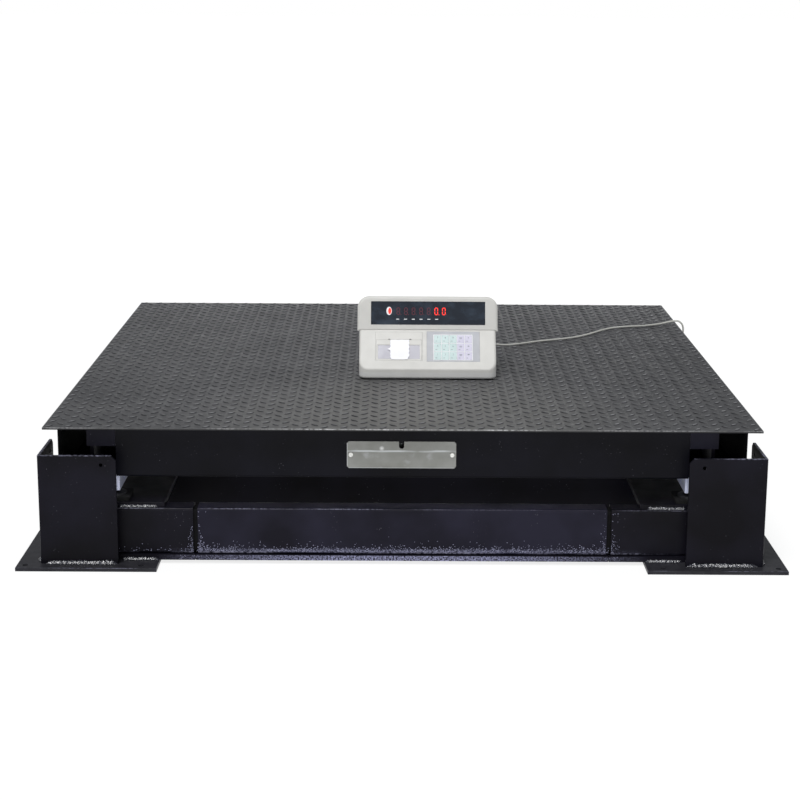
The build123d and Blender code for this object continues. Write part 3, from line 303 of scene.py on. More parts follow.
def frame_paint(name, dark, light, inner_axis=None):
    """Black enamel with a blue-violet cast: orange peel, grit, dusty plates, pale spatter partly painted as a
    reflection, and rubbed edges with painted highlights.

    On a rail the faces that look inwards along `inner_axis` are painted near-black as shade, and dull.
    """
    paint = Finish(name, dark, 0.4, specular=0.08)
    cloud = paint.noise(140 * MM, detail=3.0)
    film = paint.mix(paint.ranged(cloud, 0.35, 0.65), dark, light)
    gloss = paint.ranged(paint.noise(60 * MM, detail=4.0), 0.3, 0.7, 0.3, 0.46)
    if inner_axis:
        # Painted shade: near-black on the rail's inner faces
        inner = paint.ranged(paint.away(inner_axis), RAIL_INNER - 0.1 * MM, RAIL_INNER, 1.0, 0.0)
        film = paint.mix(inner, film, srgb(6, 6, 8))
        gloss = paint.maths("MAXIMUM", gloss, inner)
    grit = paint.ranged(paint.cells(7 * MM), 0.16, 0.06)
    specks = paint.times(grit, paint.ranged(paint.noise(45 * MM), 0.56, 0.66))
    speckled = paint.mix(paint.times(specks, 0.4), film, srgb(120, 120, 128))
    height = paint.away("z")
    on_plate = paint.ranged(height, plate_high.z + 0.2 * MM, plate_high.z + 0.4 * MM, 1.0, 0.0)
    dust = paint.ranged(paint.noise(24 * MM, detail=5.0), 0.3, 0.7, 0.55, 1.0)
    dusted = paint.mix(paint.times(on_plate, dust), speckled, srgb(47, 47, 51))
    # Pale blue-white spatter, partly a painted reflection along the beams' lower edge
    with_spatter_reflection = paint.mix(spatter_and_reflection(paint, height), dusted, srgb(142, 143, 174))
    # Rubbed edges with painted highlights along them, in pale blue-grey
    paint.colour(paint.mix(rims_worn_and_highlit(paint, height), with_spatter_reflection, srgb(146, 146, 168)))
    paint.roughness(gloss)
    paint.bump(paint.noise(3.2 * MM, detail=1.0), 0.12 * MM, 0.5)
    paint.bump(paint.noise(40 * MM, detail=1.0), 0.5 * MM, 0.5)
    paint.bump(specks, 0.4 * MM, 0.6)
    return paint.material


def mill_scale():
    """Bare black steel, dull."""
    steel = Finish("mill_scale", srgb(9, 9, 10), 0.75, specular=0.1)
    cloud = steel.ranged(steel.noise(20 * MM, detail=3.0), 0.35, 0.7)
    steel.colour(steel.mix(cloud, srgb(7, 7, 8), srgb(13, 13, 15)))
    return steel.material


def deck_paint(name, dark, light, dusty):
    """Worn satin black paint on rolled plate, with grey traffic dust, painted shade towards its right side, and
    rubbed edges with a painted highlight on the front rim.
    """
    paint = Finish(name, dark, 0.5, specular=0.35)
    cloud = paint.noise(260 * MM, detail=4.0)
    film = paint.mix(paint.ranged(cloud, 0.35, 0.68), dark, light)
    # Painted shade: the deck is darker towards its right side
    right_shade = paint.times(paint.near(DECK_SHADE_SPOT, 0.1, 0.9), 0.8)
    film = paint.mix(right_shade, film, srgb(44, 44, 47))
    dust = paint.ranged(paint.noise(9 * MM, detail=5.0), 0.5, 0.75)
    patch = paint.ranged(paint.noise(90 * MM, detail=3.0), 0.42, 0.7)
    scuffed = paint.mix(paint.times(dust, paint.times(patch, 0.55)), film, dusty)
    traffic = paint.times(paint.near(TRAFFIC, 0.0, 0.5), paint.ranged(dust, 0.0, 1.0, 0.55, 0.8))
    dusted = paint.mix(traffic, scuffed, dusty)
    edge = paint.ranged(paint.away("z"), DECK_RIM_Z - 0.3 * MM, DECK_RIM_Z, 1.0, 0.0)
    dusted = paint.mix(edge, dusted, srgb(16, 16, 20))
    # The front rim's pale broken line: rubbed paint and a painted highlight where light catches the edge
    rub_and_glint = paint.ranged(paint.near(FRONT_RUB_AND_GLINT, 0.05, 0.35), 0.0, 1.0, 0.25, 0.9)
    rim = paint.times(paint.rim(DECK_RIM_Z, DECK_RIM), rub_and_glint)
    rubbed = paint.times(rim, paint.broken_marks(7 * MM, 0.4, 0.58))
    paint.colour(paint.mix(rubbed, dusted, srgb(200, 200, 202)))
    paint.roughness(paint.ranged(paint.noise(30 * MM, detail=4.0), 0.3, 0.7, 0.42, 0.58))
    paint.bump(paint.noise(2.4 * MM, detail=2.0), 0.12 * MM, 0.6)
    return paint.material


def tread_paint(name, foot, crest):
    """The deck's paint on its lentils: painted shade on their slopes, patchy round their bases, and lighter tops
    that are partly rubbed grey and partly a painted highlight.
    """
    paint = Finish(name, foot, 0.5, specular=0.3)
    risen = paint.ranged(paint.away("z"), deck_high.z + 0.6 * LENTIL_H, deck_high.z + 0.9 * LENTIL_H)
    wear_and_highlight = paint.ranged(paint.noise(120 * MM, detail=4.0), 0.35, 0.65, 0.5, 1.0)
    patchy_shade = paint.ranged(paint.noise(70 * MM, detail=3.0), 0.4, 0.7)
    # Painted shade on the slopes, in patches
    shaded_feet = paint.mix(patchy_shade, foot, DECK_DARK)
    # Lighter tops: a painted highlight, partly rubbed grey paint
    paint.colour(paint.mix(paint.times(risen, wear_and_highlight), shaded_feet, crest))
    paint.roughness(paint.ranged(paint.noise(30 * MM, detail=4.0), 0.3, 0.7, 0.36, 0.54))
    paint.bump(paint.noise(2.4 * MM, detail=2.0), 0.12 * MM, 0.6)
    return paint.material


def weld_paint():
    """The same enamel where it pools, wet-looking, over weld ripples and spatter, with pale flecks painted in as
    glints.
    """
    paint = Finish("weld_paint", srgb(26, 26, 33), 0.16, specular=0.8, coat=0.6)
    paint.set({"Coat Roughness": 0.08})
    # Painted glints: pale flecks over the weld
    glint_flecks = paint.ranged(paint.noise(2.2 * MM, detail=3.0), 0.5, 0.72)
    paint.colour(paint.mix(glint_flecks, srgb(22, 22, 29), srgb(92, 94, 106)))
    paint.bump(paint.noise(1.4 * MM, detail=3.0), 0.5 * MM, 0.9)
    return paint.material


def brushed_metal(name, colour, grain, roughness, metallic=1.0, dark=None):
    """Plain metal with fine parallel grain, stretched out as `grain` says."""
    metal = Finish(name, colour, roughness, metallic=metallic)
    lines = metal.noise(1.2 * MM, detail=4.0, stretch=grain)
    dark = dark or (*(0.8 * channel for channel in colour[:3]), 1.0)
    metal.colour(metal.mix(metal.ranged(lines, 0.3, 0.7), dark, colour))
    metal.roughness(metal.ranged(lines, 0.3, 0.7, roughness - 0.06, roughness + 0.08))
    metal.bump(lines, 0.05 * MM, 0.5)
    return metal.material


def cover_steel():
    """Thin stainless cover, scuffed flat by handling, with a rubbed streak across it."""
    metal = Finish("cover_steel", srgb(130, 130, 126), 0.42, metallic=0.3)
    lines = metal.noise(1.0 * MM, detail=4.0, stretch=(0.04, 1.0, 1.0))
    cloud = metal.ranged(metal.noise(50 * MM, detail=3.0), 0.35, 0.7)
    plain = metal.mix(cloud, srgb(110, 111, 106), srgb(129, 130, 127))
    height = metal.away("z")
    waver = metal.maths("ADD", height, metal.ranged(metal.noise(60 * MM), 0.3, 0.7, -0.7 * MM, 0.7 * MM))
    streak = metal.band(waver, cover_high.z - 21.0 * MM, 1.5 * MM)
    strength = metal.ranged(metal.noise(45 * MM, detail=3.0), 0.35, 0.6, 0.15, 0.65)
    rub = metal.ranged(metal.noise(20 * MM, detail=5.0, stretch=(0.6, 1.0, 0.9)), 0.6, 0.75)
    broken_marks = metal.mix(metal.times(streak, strength), plain, srgb(190, 194, 196))
    scuffed = metal.mix(metal.times(rub, 0.35), broken_marks, srgb(170, 173, 176))
    # Painted glint: a small bright spot where light catches a hollow in the cover
    dent_glint = metal.near((cover_low.x + 73.0 * MM, cover_low.y, cover_high.z - 15.0 * MM), 1.0 * MM, 6.0 * MM)
    with_dent_glint = metal.mix(metal.times(dent_glint, 0.7), scuffed, srgb(215, 216, 216))
    bottom_edge = metal.ranged(height, cover_low.z + 1.4 * MM, cover_low.z + 0.6 * MM)
    left_edge = metal.ranged(metal.away("x"), -cover_low.x - 1.6 * MM, -cover_low.x - 0.8 * MM)
    edges = metal.maths("MAXIMUM", bottom_edge, left_edge)
    metal.colour(metal.mix(metal.times(edges, 0.6), with_dent_glint, srgb(190, 192, 196)))
    metal.roughness(metal.ranged(lines, 0.3, 0.7, 0.34, 0.5))
    metal.bump(lines, 0.05 * MM, 0.5)
    return metal.material


def moulded(name, colour, shade, roughness=0.45, grain=0.7 * MM, depth=0.05 * MM):
    """Moulded plastic: faint colour drift and a fine spark-eroded texture."""
    plastic = Finish(name, colour, roughness, specular=0.4)
    drift = plastic.ranged(plastic.noise(50 * MM, detail=4.0), 0.35, 0.7)
    plastic.colour(plastic.mix(drift, colour, shade))
    plastic.roughness(plastic.ranged(plastic.noise(18 * MM), 0.3, 0.7, roughness - 0.05, roughness + 0.07))
    plastic.bump(plastic.noise(grain, detail=2.0), depth, 0.5)
    return plastic.material


def keypad_film(name, colour, shade):
    """Fine-grained printed film, as on the keypad and its keys."""
    return moulded(name, colour, shade, roughness=0.38, grain=0.4 * MM)


def rubber(name):
    """Matt black rubber with a chalky bloom."""
    gum = Finish(name, srgb(30, 30, 31), 0.8, specular=0.3)
    bloom = gum.ranged(gum.noise(12 * MM, detail=5.0), 0.45, 0.8)
    gum.colour(gum.mix(gum.times(bloom, 0.25), srgb(13, 13, 14), srgb(44, 44, 45)))
    gum.bump(gum.noise(0.9 * MM, detail=3.0), 0.1 * MM, 0.6)
    return gum.material


def tinted_window():
    """Smoked acrylic, polished, with wiped smears that dull it here and there."""
    acrylic = Finish("tinted_window", srgb(28, 36, 47), 0.1, specular=0.6, coat=0.5)
    acrylic.set({"Coat Roughness": 0.05})
    smear = acrylic.ranged(acrylic.noise(38 * MM, detail=4.0, stretch=(1.0, 1.0, 1.6)), 0.45, 0.75)
    acrylic.colour(acrylic.mix(smear, srgb(26, 33, 44), srgb(46, 58, 72)))
    acrylic.roughness(acrylic.ranged(smear, 0.0, 1.0, 0.08, 0.3))
    return acrylic.material


def glowing(name, colour, strength):
    """A display segment: a flat tint that gives light of its own when lit."""
    lamp = Finish(name, colour, 0.4)
    lamp.set({"Emission Color": colour, "Emission Strength": strength})
    core = lamp.ranged(lamp.noise(3 * MM, detail=1.0), 0.3, 0.7, 0.8, 1.0)
    edge = (*(0.7 * channel for channel in colour[:3]), 1.0)
    lamp.colour(lamp.mix(core, edge, colour))
    return lamp.material


def board_green():
    """Circuit board: solder mask over faint tracks."""
    board = Finish("board_green", srgb(28, 92, 60), 0.35)
    tracks = board.ranged(board.cells(4 * MM, stretch=(1.0, 0.3, 1.0)), 0.3, 0.36)
    board.colour(board.mix(tracks, srgb(48, 120, 78), srgb(24, 84, 54)))
    board.bump(tracks, 0.05 * MM)
    return board.material


def thermal_paper():
    """White coated paper with a slight fibre texture."""
    paper = Finish("thermal_paper", srgb(246, 246, 252), 0.6, specular=0.3)
    fibre = paper.noise(0.8 * MM, detail=4.0)
    paper.colour(paper.mix(paper.ranged(fibre, 0.3, 0.7), srgb(240, 240, 247), srgb(250, 250, 254)))
    paper.bump(fibre, 0.03 * MM, 0.4)
    return paper.material


# The centre beams and deck ribs get a lighter copy of the frame paint, painted light for the brighter-lit centre
# beams
LIT_BEAM_PAINT = frame_paint("lit_beam_paint", srgb(19, 18, 27), srgb(32, 31, 44))
# The rails get a darker copy of the frame paint, painted shade for the shadow under the deck's overhang
SHADED_END_RAIL_PAINT = frame_paint("shaded_end_rail_paint", srgb(7, 7, 12), srgb(14, 14, 22), inner_axis="y")
SHADED_SIDE_RAIL_PAINT = frame_paint("shaded_side_rail_paint", srgb(7, 7, 12), srgb(14, 14, 22), inner_axis="x")
DECK_DARK = srgb(60, 60, 62)
# Lit and shaded copies of the tread paint: lentils turned one way are painted lighter than those turned the other
# way, as light falls on them
LIT_TREAD_RISING = tread_paint("tread_rising", srgb(42, 42, 45), srgb(132, 132, 135))
SHADED_TREAD_FALLING = tread_paint("tread_falling", srgb(12, 12, 15), srgb(94, 94, 97))
WELD_PAINT = weld_paint()
# Spatter droplets: their pale blue-grey colour is a painted glint
SPATTER_GLINT = moulded("spatter_glint_paint", srgb(98, 99, 118), srgb(144, 145, 170), roughness=0.3)
RUBBER = rubber("rubber")
PAPER = thermal_paper()
WHITE_INK = moulded("white_ink", srgb(244, 245, 247), srgb(238, 239, 242), roughness=0.5)
BLACK_INK = moulded("black_ink", srgb(40, 40, 44), srgb(48, 48, 52), roughness=0.5)
GREY_INK = moulded("grey_ink", srgb(112, 120, 128), srgb(98, 106, 114), roughness=0.5)
WELL_TINT = moulded("well_tint", srgb(168, 167, 177), srgb(163, 162, 173), roughness=0.3)
SEGMENT_LIT = glowing("segment_lit", srgb(240, 52, 42), 1.0)
SEGMENT_DARK = glowing("segment_dark", srgb(90, 38, 52), 0.0)
CORD_GREY = moulded("cord_grey", srgb(186, 186, 181), srgb(176, 176, 170), roughness=0.5)

FINISHES = {
    "frame_paint": frame_paint("frame_paint", srgb(11, 10, 15), srgb(20, 19, 28)),
    "deck_paint": deck_paint("deck_film", DECK_DARK, srgb(72, 72, 74), srgb(120, 119, 115)),
    "sleeve_steel": mill_scale(),
    # nickel-plated, with a faint blue cast
    "cell_steel": brushed_metal("cell_metal", srgb(226, 229, 246), ALONG_Y, 0.34, metallic=0.15,
                                dark=srgb(186, 194, 226)),
    "zinc_steel": brushed_metal("zinc_steel", srgb(232, 232, 228), ALONG_Z, 0.3, metallic=0.5),
    "foot_steel": brushed_metal("foot_steel", srgb(70, 70, 74), ALONG_Z, 0.4, metallic=0.7),
    "pad_rubber": RUBBER,
    "cover_steel": cover_steel(),
    "box_metal": brushed_metal("box_metal", srgb(176, 178, 180), ALONG_X, 0.45),
    "gland_plastic": moulded("gland_nylon", srgb(34, 34, 35), srgb(40, 40, 42), roughness=0.4),
    "cord_jacket": CORD_GREY,
    "case_ivory": moulded("case_ivory", srgb(205, 204, 200), srgb(199, 198, 194)),
    "case_grey": moulded("case_grey", srgb(208, 208, 206), srgb(200, 200, 199)),
    "window_tint": tinted_window(),
    "board_green": board_green(),
    "overlay_grey": keypad_film("overlay_grey", srgb(168, 170, 176), srgb(163, 165, 171)),
    "key_mint": keypad_film("key_mint", srgb(189, 208, 207), srgb(183, 204, 203)),
    "key_lavender": keypad_film("key_lavender", srgb(199, 196, 214), srgb(194, 191, 210)),
    "paper": PAPER,
    "switch_black": moulded("switch_black", srgb(26, 26, 27), srgb(32, 32, 33), roughness=0.25),
}
NODE_FINISHES = {
    "end_beams": LIT_BEAM_PAINT,
    "deck_ribs": LIT_BEAM_PAINT,
    "front_rail": SHADED_END_RAIL_PAINT,
    "rear_rail": SHADED_END_RAIL_PAINT,
    "left_rail": SHADED_SIDE_RAIL_PAINT,
    "right_rail": SHADED_SIDE_RAIL_PAINT,
}


def finish_cad_nodes():
    """Give every CAD node the finish of its material slot, or its own."""
    for part in frame["record"]["subparts"]:
        mesh = frame["nodes"][part["node"]].data
        mesh.materials.clear()
        mesh.materials.append(NODE_FINISHES.get(part["node"], FINISHES[part["material_slot"]]))


# ---- making pieces

def linked(name, data):
    """New object in the scene."""
    made = bpy.data.objects.new(name, data)
    bpy.context.scene.collection.objects.link(made)
    return made


def mesh_from(form, name, material, smooth=False):
    """Turn a bmesh into mesh data with outward normals."""
    bmesh.ops.recalc_face_normals(form, faces=form.faces)
    mesh_data = bpy.data.meshes.new(name)
    form.to_mesh(mesh_data)
    form.free()
    for face in mesh_data.polygons:
        face.use_smooth = smooth
    mesh_data.materials.append(material)
    return mesh_data


def piece_from(form, name, material, body, smooth=False):
    """Turn a bmesh into a piece that rides on `body`."""
    piece = linked(name, mesh_from(form, name, material, smooth))
    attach(piece, body)
    return piece


def add_skin(form, rings):
    """Add the faces between each ring of vertices and the next."""
    for lower, upper in zip(rings, rings[1:]):
        for index in range(len(lower)):
            after = (index + 1) % len(lower)
            form.faces.new((lower[index], lower[after], upper[after], upper[index]))


def add_solid(form, rings):
    """Add the closed solid through rings of vertices, from the lowest to the highest."""
    form.faces.new(rings[0][::-1])
    form.faces.new(rings[-1])
    add_skin(form, rings)


def add_ring(form, outline, place, height):
    """Add vertices at an outline's (x, y) points, at `height` along the z of `place`."""
    return [form.verts.new(place @ Vector((x, y, height))) for x, y in outline]


def add_plate(form, outline, place, thickness):
    """Add a flat plate: its outline lies on `place`, extruded along its z."""
    add_solid(form, [add_ring(form, outline, place, height) for height in (0.0, thickness)])


def rectangle(x, y, width, height):
    """Corners of a rectangle about (x, y)."""
    signs = ((-1, -1), (1, -1), (1, 1), (-1, 1))
    return [(x + sign_x * width / 2, y + sign_y * height / 2) for sign_x, sign_y in signs]


def ellipse(x, y, width, height, steps=28):
    """Points round an ellipse about (x, y)."""
    turns = [2 * math.pi * step / steps for step in range(steps)]
    return [(x + width / 2 * math.cos(turn), y + height / 2 * math.sin(turn)) for turn in turns]


# ---- deck tread

LENTIL_PITCH = 41.0 * MM
LENTIL_L = 25.0 * MM
LENTIL_W = 7.6 * MM
LENTIL_SINK = 0.3 * MM
LENTIL_SIDES = 5  # points along each side of a lentil, without its tips
# Share of a lentil's outline at its foot, shoulder and crest, and their heights
LENTIL_LEVELS = ((1.0, -LENTIL_SINK), (0.72, 0.72 * LENTIL_H), (0.4, LENTIL_H))
TREAD_EDGE = 1.2 * MM


def lentil_outline(scale):
    """Pointed oval, long along local x."""
    side = []
    for step in range(LENTIL_SIDES + 2):
        along = -1.0 + 2.0 * step / (LENTIL_SIDES + 1)
        side.append((scale * along * LENTIL_L / 2, scale * (1.0 - along ** 2) * LENTIL_W / 2))
    back = [(x, -y) for x, y in side[-2:0:-1]]
    return side + back


def add_lentil(form, x, y, turn):
    """One raised lentil on the deck at (x, y)."""
    place = Matrix.Translation((x, y, deck_high.z)) @ Matrix.Rotation(turn, 4, "Z")
    rings = [add_ring(form, lentil_outline(scale), place, height) for scale, height in LENTIL_LEVELS]
    add_solid(form, rings)


def make_tread(name, shift, turn, material):
    """One lattice of lentils, all turned the same way, cut off at the deck's edges."""
    form = bmesh.new()
    half = deck_high.x - TREAD_EDGE
    count = int(half // LENTIL_PITCH) + 1
    for row in range(-count, count + 1):
        for column in range(-count, count + 1):
            x, y = column * LENTIL_PITCH + shift, row * LENTIL_PITCH + shift
            add_lentil(form, x, y, math.radians(turn))
    for x, y in ((1, 0), (-1, 0), (0, 1), (0, -1)):
        outward = Vector((x, y, 0))
        cut = bmesh.ops.bisect_plane(
            form, geom=form.verts[:] + form.edges[:] + form.faces[:],
            plane_co=outward * half, plane_no=outward, clear_outer=True,
        )
        rim = [part for part in cut["geom_cut"] if isinstance(part, bmesh.types.BMEdge)]
        bmesh.ops.holes_fill(form, edges=rim)
    piece_from(form, name, material, DECK)


# ---- welds

WELD_STEP = 0.8 * MM
WELD_RIPPLE = 2.6 * MM
WELD_SECTION = 6
POST_FRONT_LEG = 163.0 * MM
POST_SIDE_LEG = 150.0 * MM
WELD_LEG = 8.0 * MM
STRIP_WELD_LEG = 6.0 * MM
WELD_ROOT = 0.5 * MM  # how far a run is sunk into both faces
WELD_IN = 12.0 * MM  # from the posts' corners
WELD_END_GAP = 3.0 * MM
PLATE_SIZE = 294.0 * MM
STRIP_RUN_PAST = 2.0 * MM  # the runs stop this far outside the plates' and seats' inner edges
SEAT_IN = 501.0 * MM
SEAT_RUN_PAST = 14.0 * MM


def add_bead(form, start, end, out, leg):
    """Weld run in the corner between a face that looks along `out` and the plate below it."""
    along = end - start
    steps = max(8, int(along.length / WELD_STEP))
    rows = []
    for step in range(steps + 1):
        share = step / steps
        spot = start + along * share
        taper = min(1.0, 12.0 * share + 0.25, 12.0 * (1.0 - share) + 0.25)
        ripple = 0.16 * ((share * along.length / WELD_RIPPLE) % 1.0)
        drift = 0.22 * noise.noise(spot * 120.0) + 0.10 * noise.noise(spot * 700.0)
        reach = leg * taper * (0.86 + ripple + drift)
        row = []
        for corner in range(WELD_SECTION + 1):
            angle = math.pi / 2 * corner / WELD_SECTION
            grain = 0.18 * noise.noise(spot * 900.0 + Vector((0.0, 0.0, 5.0 * corner)))
            lump = 1.0 + grain + 0.22 * noise.noise(spot * 320.0 + Vector((0.0, 0.0, 2.0 * corner)))
            shape = 0.86 + 0.14 * abs(math.cos(2 * angle))
            row.append(form.verts.new(
                spot + out * (reach * lump * shape * math.cos(angle))
                + Vector((0.0, 0.0, reach * lump * shape * math.sin(angle)))
            ))
        row.append(form.verts.new(spot - out * WELD_ROOT - Vector((0.0, 0.0, WELD_ROOT))))
        rows.append(row)
    add_skin(form, rows)
    form.faces.new(rows[0])
    form.faces.new(rows[-1][::-1])


def weld_runs(post_corner, post_out, post_leg):
    """Runs along one side of a corner: their ends, their face's distance out, height and leg."""
    post_end = post_corner - post_leg
    strip_end = plate_high.x - PLATE_SIZE + STRIP_RUN_PAST
    before, after = post_end + WELD_END_GAP, post_end - WELD_END_GAP
    return [
        (post_corner - WELD_IN, before, post_out, plate_high.z, WELD_LEG),
        (after, strip_end, strip_high.x, plate_high.z, STRIP_WELD_LEG),
        (before, SEAT_IN + SEAT_RUN_PAST, seat_high.x, beam_high.z, STRIP_WELD_LEG),
    ]


def make_welds():
    """Every weld run on the base, along both outer sides of each corner."""
    form = bmesh.new()
    front_runs = weld_runs(post_high.x, post_high.y, POST_FRONT_LEG)
    side_runs = weld_runs(post_high.y, post_high.x, POST_SIDE_LEG)
    for x, y in CORNERS:
        for start, end, out, height, leg in front_runs:
            ends = [Vector((x * along, y * out, height)) for along in (start, end)]
            add_bead(form, *ends, Vector((0, y, 0)), leg)
        for start, end, out, height, leg in side_runs:
            ends = [Vector((x * out, y * along, height)) for along in (start, end)]
            add_bead(form, *ends, Vector((x, 0, 0)), leg)
    piece = piece_from(form, "weld_runs", WELD_PAINT, BASE, smooth=True)
    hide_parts("weld_beads")


DROPLET_SIDES = 6
JOINT_X = 436.0 * MM
JOINT_HALF = 4.75 * MM
STRIP_SPATTER = 470.0 * MM  # half the length of the strips that is spattered
STRIP_MARGIN = 1.5 * MM
BEAM_DROPLETS = 1800
STRIP_DROPLETS = 500
SIDE_DROPLETS = 160
# Mean distances of the droplets from a beam's lower edge, and from a joint's edge
BEAM_RISE = 4.5 * MM
JOINT_RISE = 22.0 * MM
SIDE_RISE = 9.0 * MM
JOINT_SPREAD = 5.0 * MM


def add_droplet(form, spot, out, radius):
    """Small flattened droplet on a face that looks along `out`."""
    place = Matrix.Translation(spot) @ out.to_track_quat("Z", "Y").to_matrix().to_4x4()
    rings = []
    for scale, height in ((1.0, -0.2), (0.8, 0.45)):
        outline = ellipse(0.0, 0.0, 2 * radius * scale, 2 * radius * scale, DROPLET_SIDES)
        rings.append(add_ring(form, outline, place, radius * height))
    tip = form.verts.new(place @ Vector((0.0, 0.0, 0.75 * radius)))
    form.faces.new(rings[0][::-1])
    for side in range(DROPLET_SIDES):
        other = (side + 1) % DROPLET_SIDES
        form.faces.new((rings[0][side], rings[0][other], rings[1][other], rings[1][side]))
        form.faces.new((rings[1][side], rings[1][other], tip))


def make_spatter():
    """Droplets of weld spatter, thickest along the beams' lower edges and on the strips below."""
    chance = random.Random(11)
    form = bmesh.new()
    reach = post_high.x - 40.0 * MM
    top = beam_high.z - 8.0 * MM
    edge_z = beam_low.z + 6.0 * MM
    strip_foot, strip_crest = strip_low.z + STRIP_MARGIN, strip_high.z - STRIP_MARGIN
    for side in (-1, 1):
        for index in range(BEAM_DROPLETS):
            # every sixth droplet may lie beyond the joint, and every ninth lies beside a joint
            x = chance.uniform(-JOINT_X, JOINT_X) if index % 6 else chance.uniform(-reach, JOINT_X)
            rise = chance.expovariate(1.0 / BEAM_RISE)
            if index % 9 == 0:
                beside = JOINT_HALF + 1.5 * MM + chance.expovariate(1.0 / JOINT_SPREAD)
                x = chance.choice((-1, 1)) * (JOINT_X + chance.choice((-1, 1)) * beside)
                rise = chance.expovariate(1.0 / JOINT_RISE)
            spot = Vector((x, side * beam_high.y, min(edge_z + rise, top)))
            add_droplet(form, spot, Vector((0, side, 0)), chance.uniform(0.5, 1.2) * MM)
        for _ in range(STRIP_DROPLETS):
            x = chance.uniform(-STRIP_SPATTER, STRIP_SPATTER)
            spot = Vector((x, side * strip_high.x, chance.uniform(strip_foot, strip_crest)))
            add_droplet(form, spot, Vector((0, side, 0)), chance.uniform(0.5, 1.1) * MM)
        for _ in range(SIDE_DROPLETS):
            y = chance.uniform(-reach, reach)
            rise = chance.expovariate(1.0 / SIDE_RISE)
            spot = Vector((side * beam_high.y, y, min(edge_z + rise, top)))
            add_droplet(form, spot, Vector((side, 0, 0)), chance.uniform(0.4, 1.1) * MM)
    piece_from(form, "weld_spatter", SPATTER_GLINT, BASE, smooth=True)


# ---- rubber pads

PAD_LEVELS = 10  # the pad's edge is grooved at every other level
PAD_GROOVE = 0.9 * MM
PAD_SIZE = 74.0 * MM
PAD_CORNER_R = 6.0 * MM
PAD_CORNER_STEPS = 4


def pad_ring(centre_x, centre_y, inset):
    """Points round a square pad with rounded corners."""
    flat = PAD_SIZE / 2 - PAD_CORNER_R
    ring = []
    for quarter, (sign_x, sign_y) in enumerate(((1, 1), (-1, 1), (-1, -1), (1, -1))):
        for step in range(PAD_CORNER_STEPS + 1):
            turn = math.radians(90.0 * (quarter + step / PAD_CORNER_STEPS))
            ring.append((
                centre_x + sign_x * flat + (PAD_CORNER_R - inset) * math.cos(turn),
                centre_y + sign_y * flat + (PAD_CORNER_R - inset) * math.sin(turn),
            ))
    return ring


def make_pads():
    """Four rubber pads with a grooved edge."""
    pad_low, pad_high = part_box("buffer_pads")
    form = bmesh.new()
    thickness = pad_high.z - pad_low.z
    for side_x, side_y in CORNERS:
        centre_x = side_x * (pad_high.x - PAD_SIZE / 2)
        centre_y = side_y * (pad_high.y - PAD_SIZE / 2)
        rings = []
        for level in range(PAD_LEVELS + 1):
            height = pad_low.z + thickness * level / PAD_LEVELS
            ring = pad_ring(centre_x, centre_y, PAD_GROOVE if level % 2 else 0.0)
            rings.append([form.verts.new((x, y, height)) for x, y in ring])
        add_solid(form, rings)
    piece = piece_from(form, "rubber_pads", RUBBER, BASE)
    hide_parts("buffer_pads")
    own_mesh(piece)


# ---- display

DIGIT_PITCH = 17.9 * MM
DIGIT_COUNT = 7
DIGIT_W = 8.6 * MM
DIGIT_H = 18.0 * MM
SEGMENT_T = 2.0 * MM
DIGITS_X = -16.6 * MM  # middle of the digits, from the window's middle
DIGITS_Y = 4.4 * MM
PRINT_LIFT = 0.05 * MM
PRINT_T = 0.1 * MM
ON_WINDOW = FACE @ Matrix.Translation((0.0, 0.0, PRINT_LIFT))
LIT = {5: "abcdef", 6: "abcdef"}  # lit segments by digit, from the left
POINT_AFTER = 5  # the digit whose decimal point is lit
POINT_D = 2.0 * MM


def segment_outlines(x, y):
    """The seven segments of a digit about (x, y), named a to g."""
    half_w = DIGIT_W / 2 - SEGMENT_T / 2
    half_h = DIGIT_H / 2 - SEGMENT_T / 2
    tip = SEGMENT_T / 2
    gap = 0.3 * MM

    def bar(x0, y0, x1, y1):
        along = Vector((x1 - x0, y1 - y0)).normalized()
        across = Vector((-along.y, along.x)) * tip
        start, end = Vector((x0, y0)) + along * gap, Vector((x1, y1)) - along * gap
        inner, outer = start + along * tip, end - along * tip
        corners = (start, inner + across, outer + across, end, outer - across, inner - across)
        return [(x + corner.x, y + corner.y) for corner in corners]

    return {
        "a": bar(-half_w, half_h, half_w, half_h),
        "b": bar(half_w, half_h, half_w, 0.0),
        "c": bar(half_w, 0.0, half_w, -half_h),
        "d": bar(-half_w, -half_h, half_w, -half_h),
        "e": bar(-half_w, 0.0, -half_w, -half_h),
        "f": bar(-half_w, half_h, -half_w, 0.0),
        "g": bar(-half_w, 0.0, half_w, 0.0),
    }


def make_digits():
    """Seven seven-segment digits: the last two show 0.0, and the rest are dark."""
    lit, dark = bmesh.new(), bmesh.new()
    for index in range(DIGIT_COUNT):
        x = DIGITS_X + (index - (DIGIT_COUNT - 1) / 2) * DIGIT_PITCH
        on = LIT.get(index, "")
        for letter, outline in segment_outlines(x, DIGITS_Y).items():
            add_plate(lit if letter in on else dark, outline, ON_WINDOW, PRINT_T)
        point_x, point_y = x + DIGIT_W / 2 + POINT_D, DIGITS_Y - DIGIT_H / 2 + POINT_D / 2
        point = ellipse(point_x, point_y, POINT_D, POINT_D, 12)
        add_plate(lit if index == POINT_AFTER else dark, point, ON_WINDOW, PRINT_T)
    piece_from(lit, "segments_lit", SEGMENT_LIT, DECK)
    piece_from(dark, "segments_dark", SEGMENT_DARK, DECK)


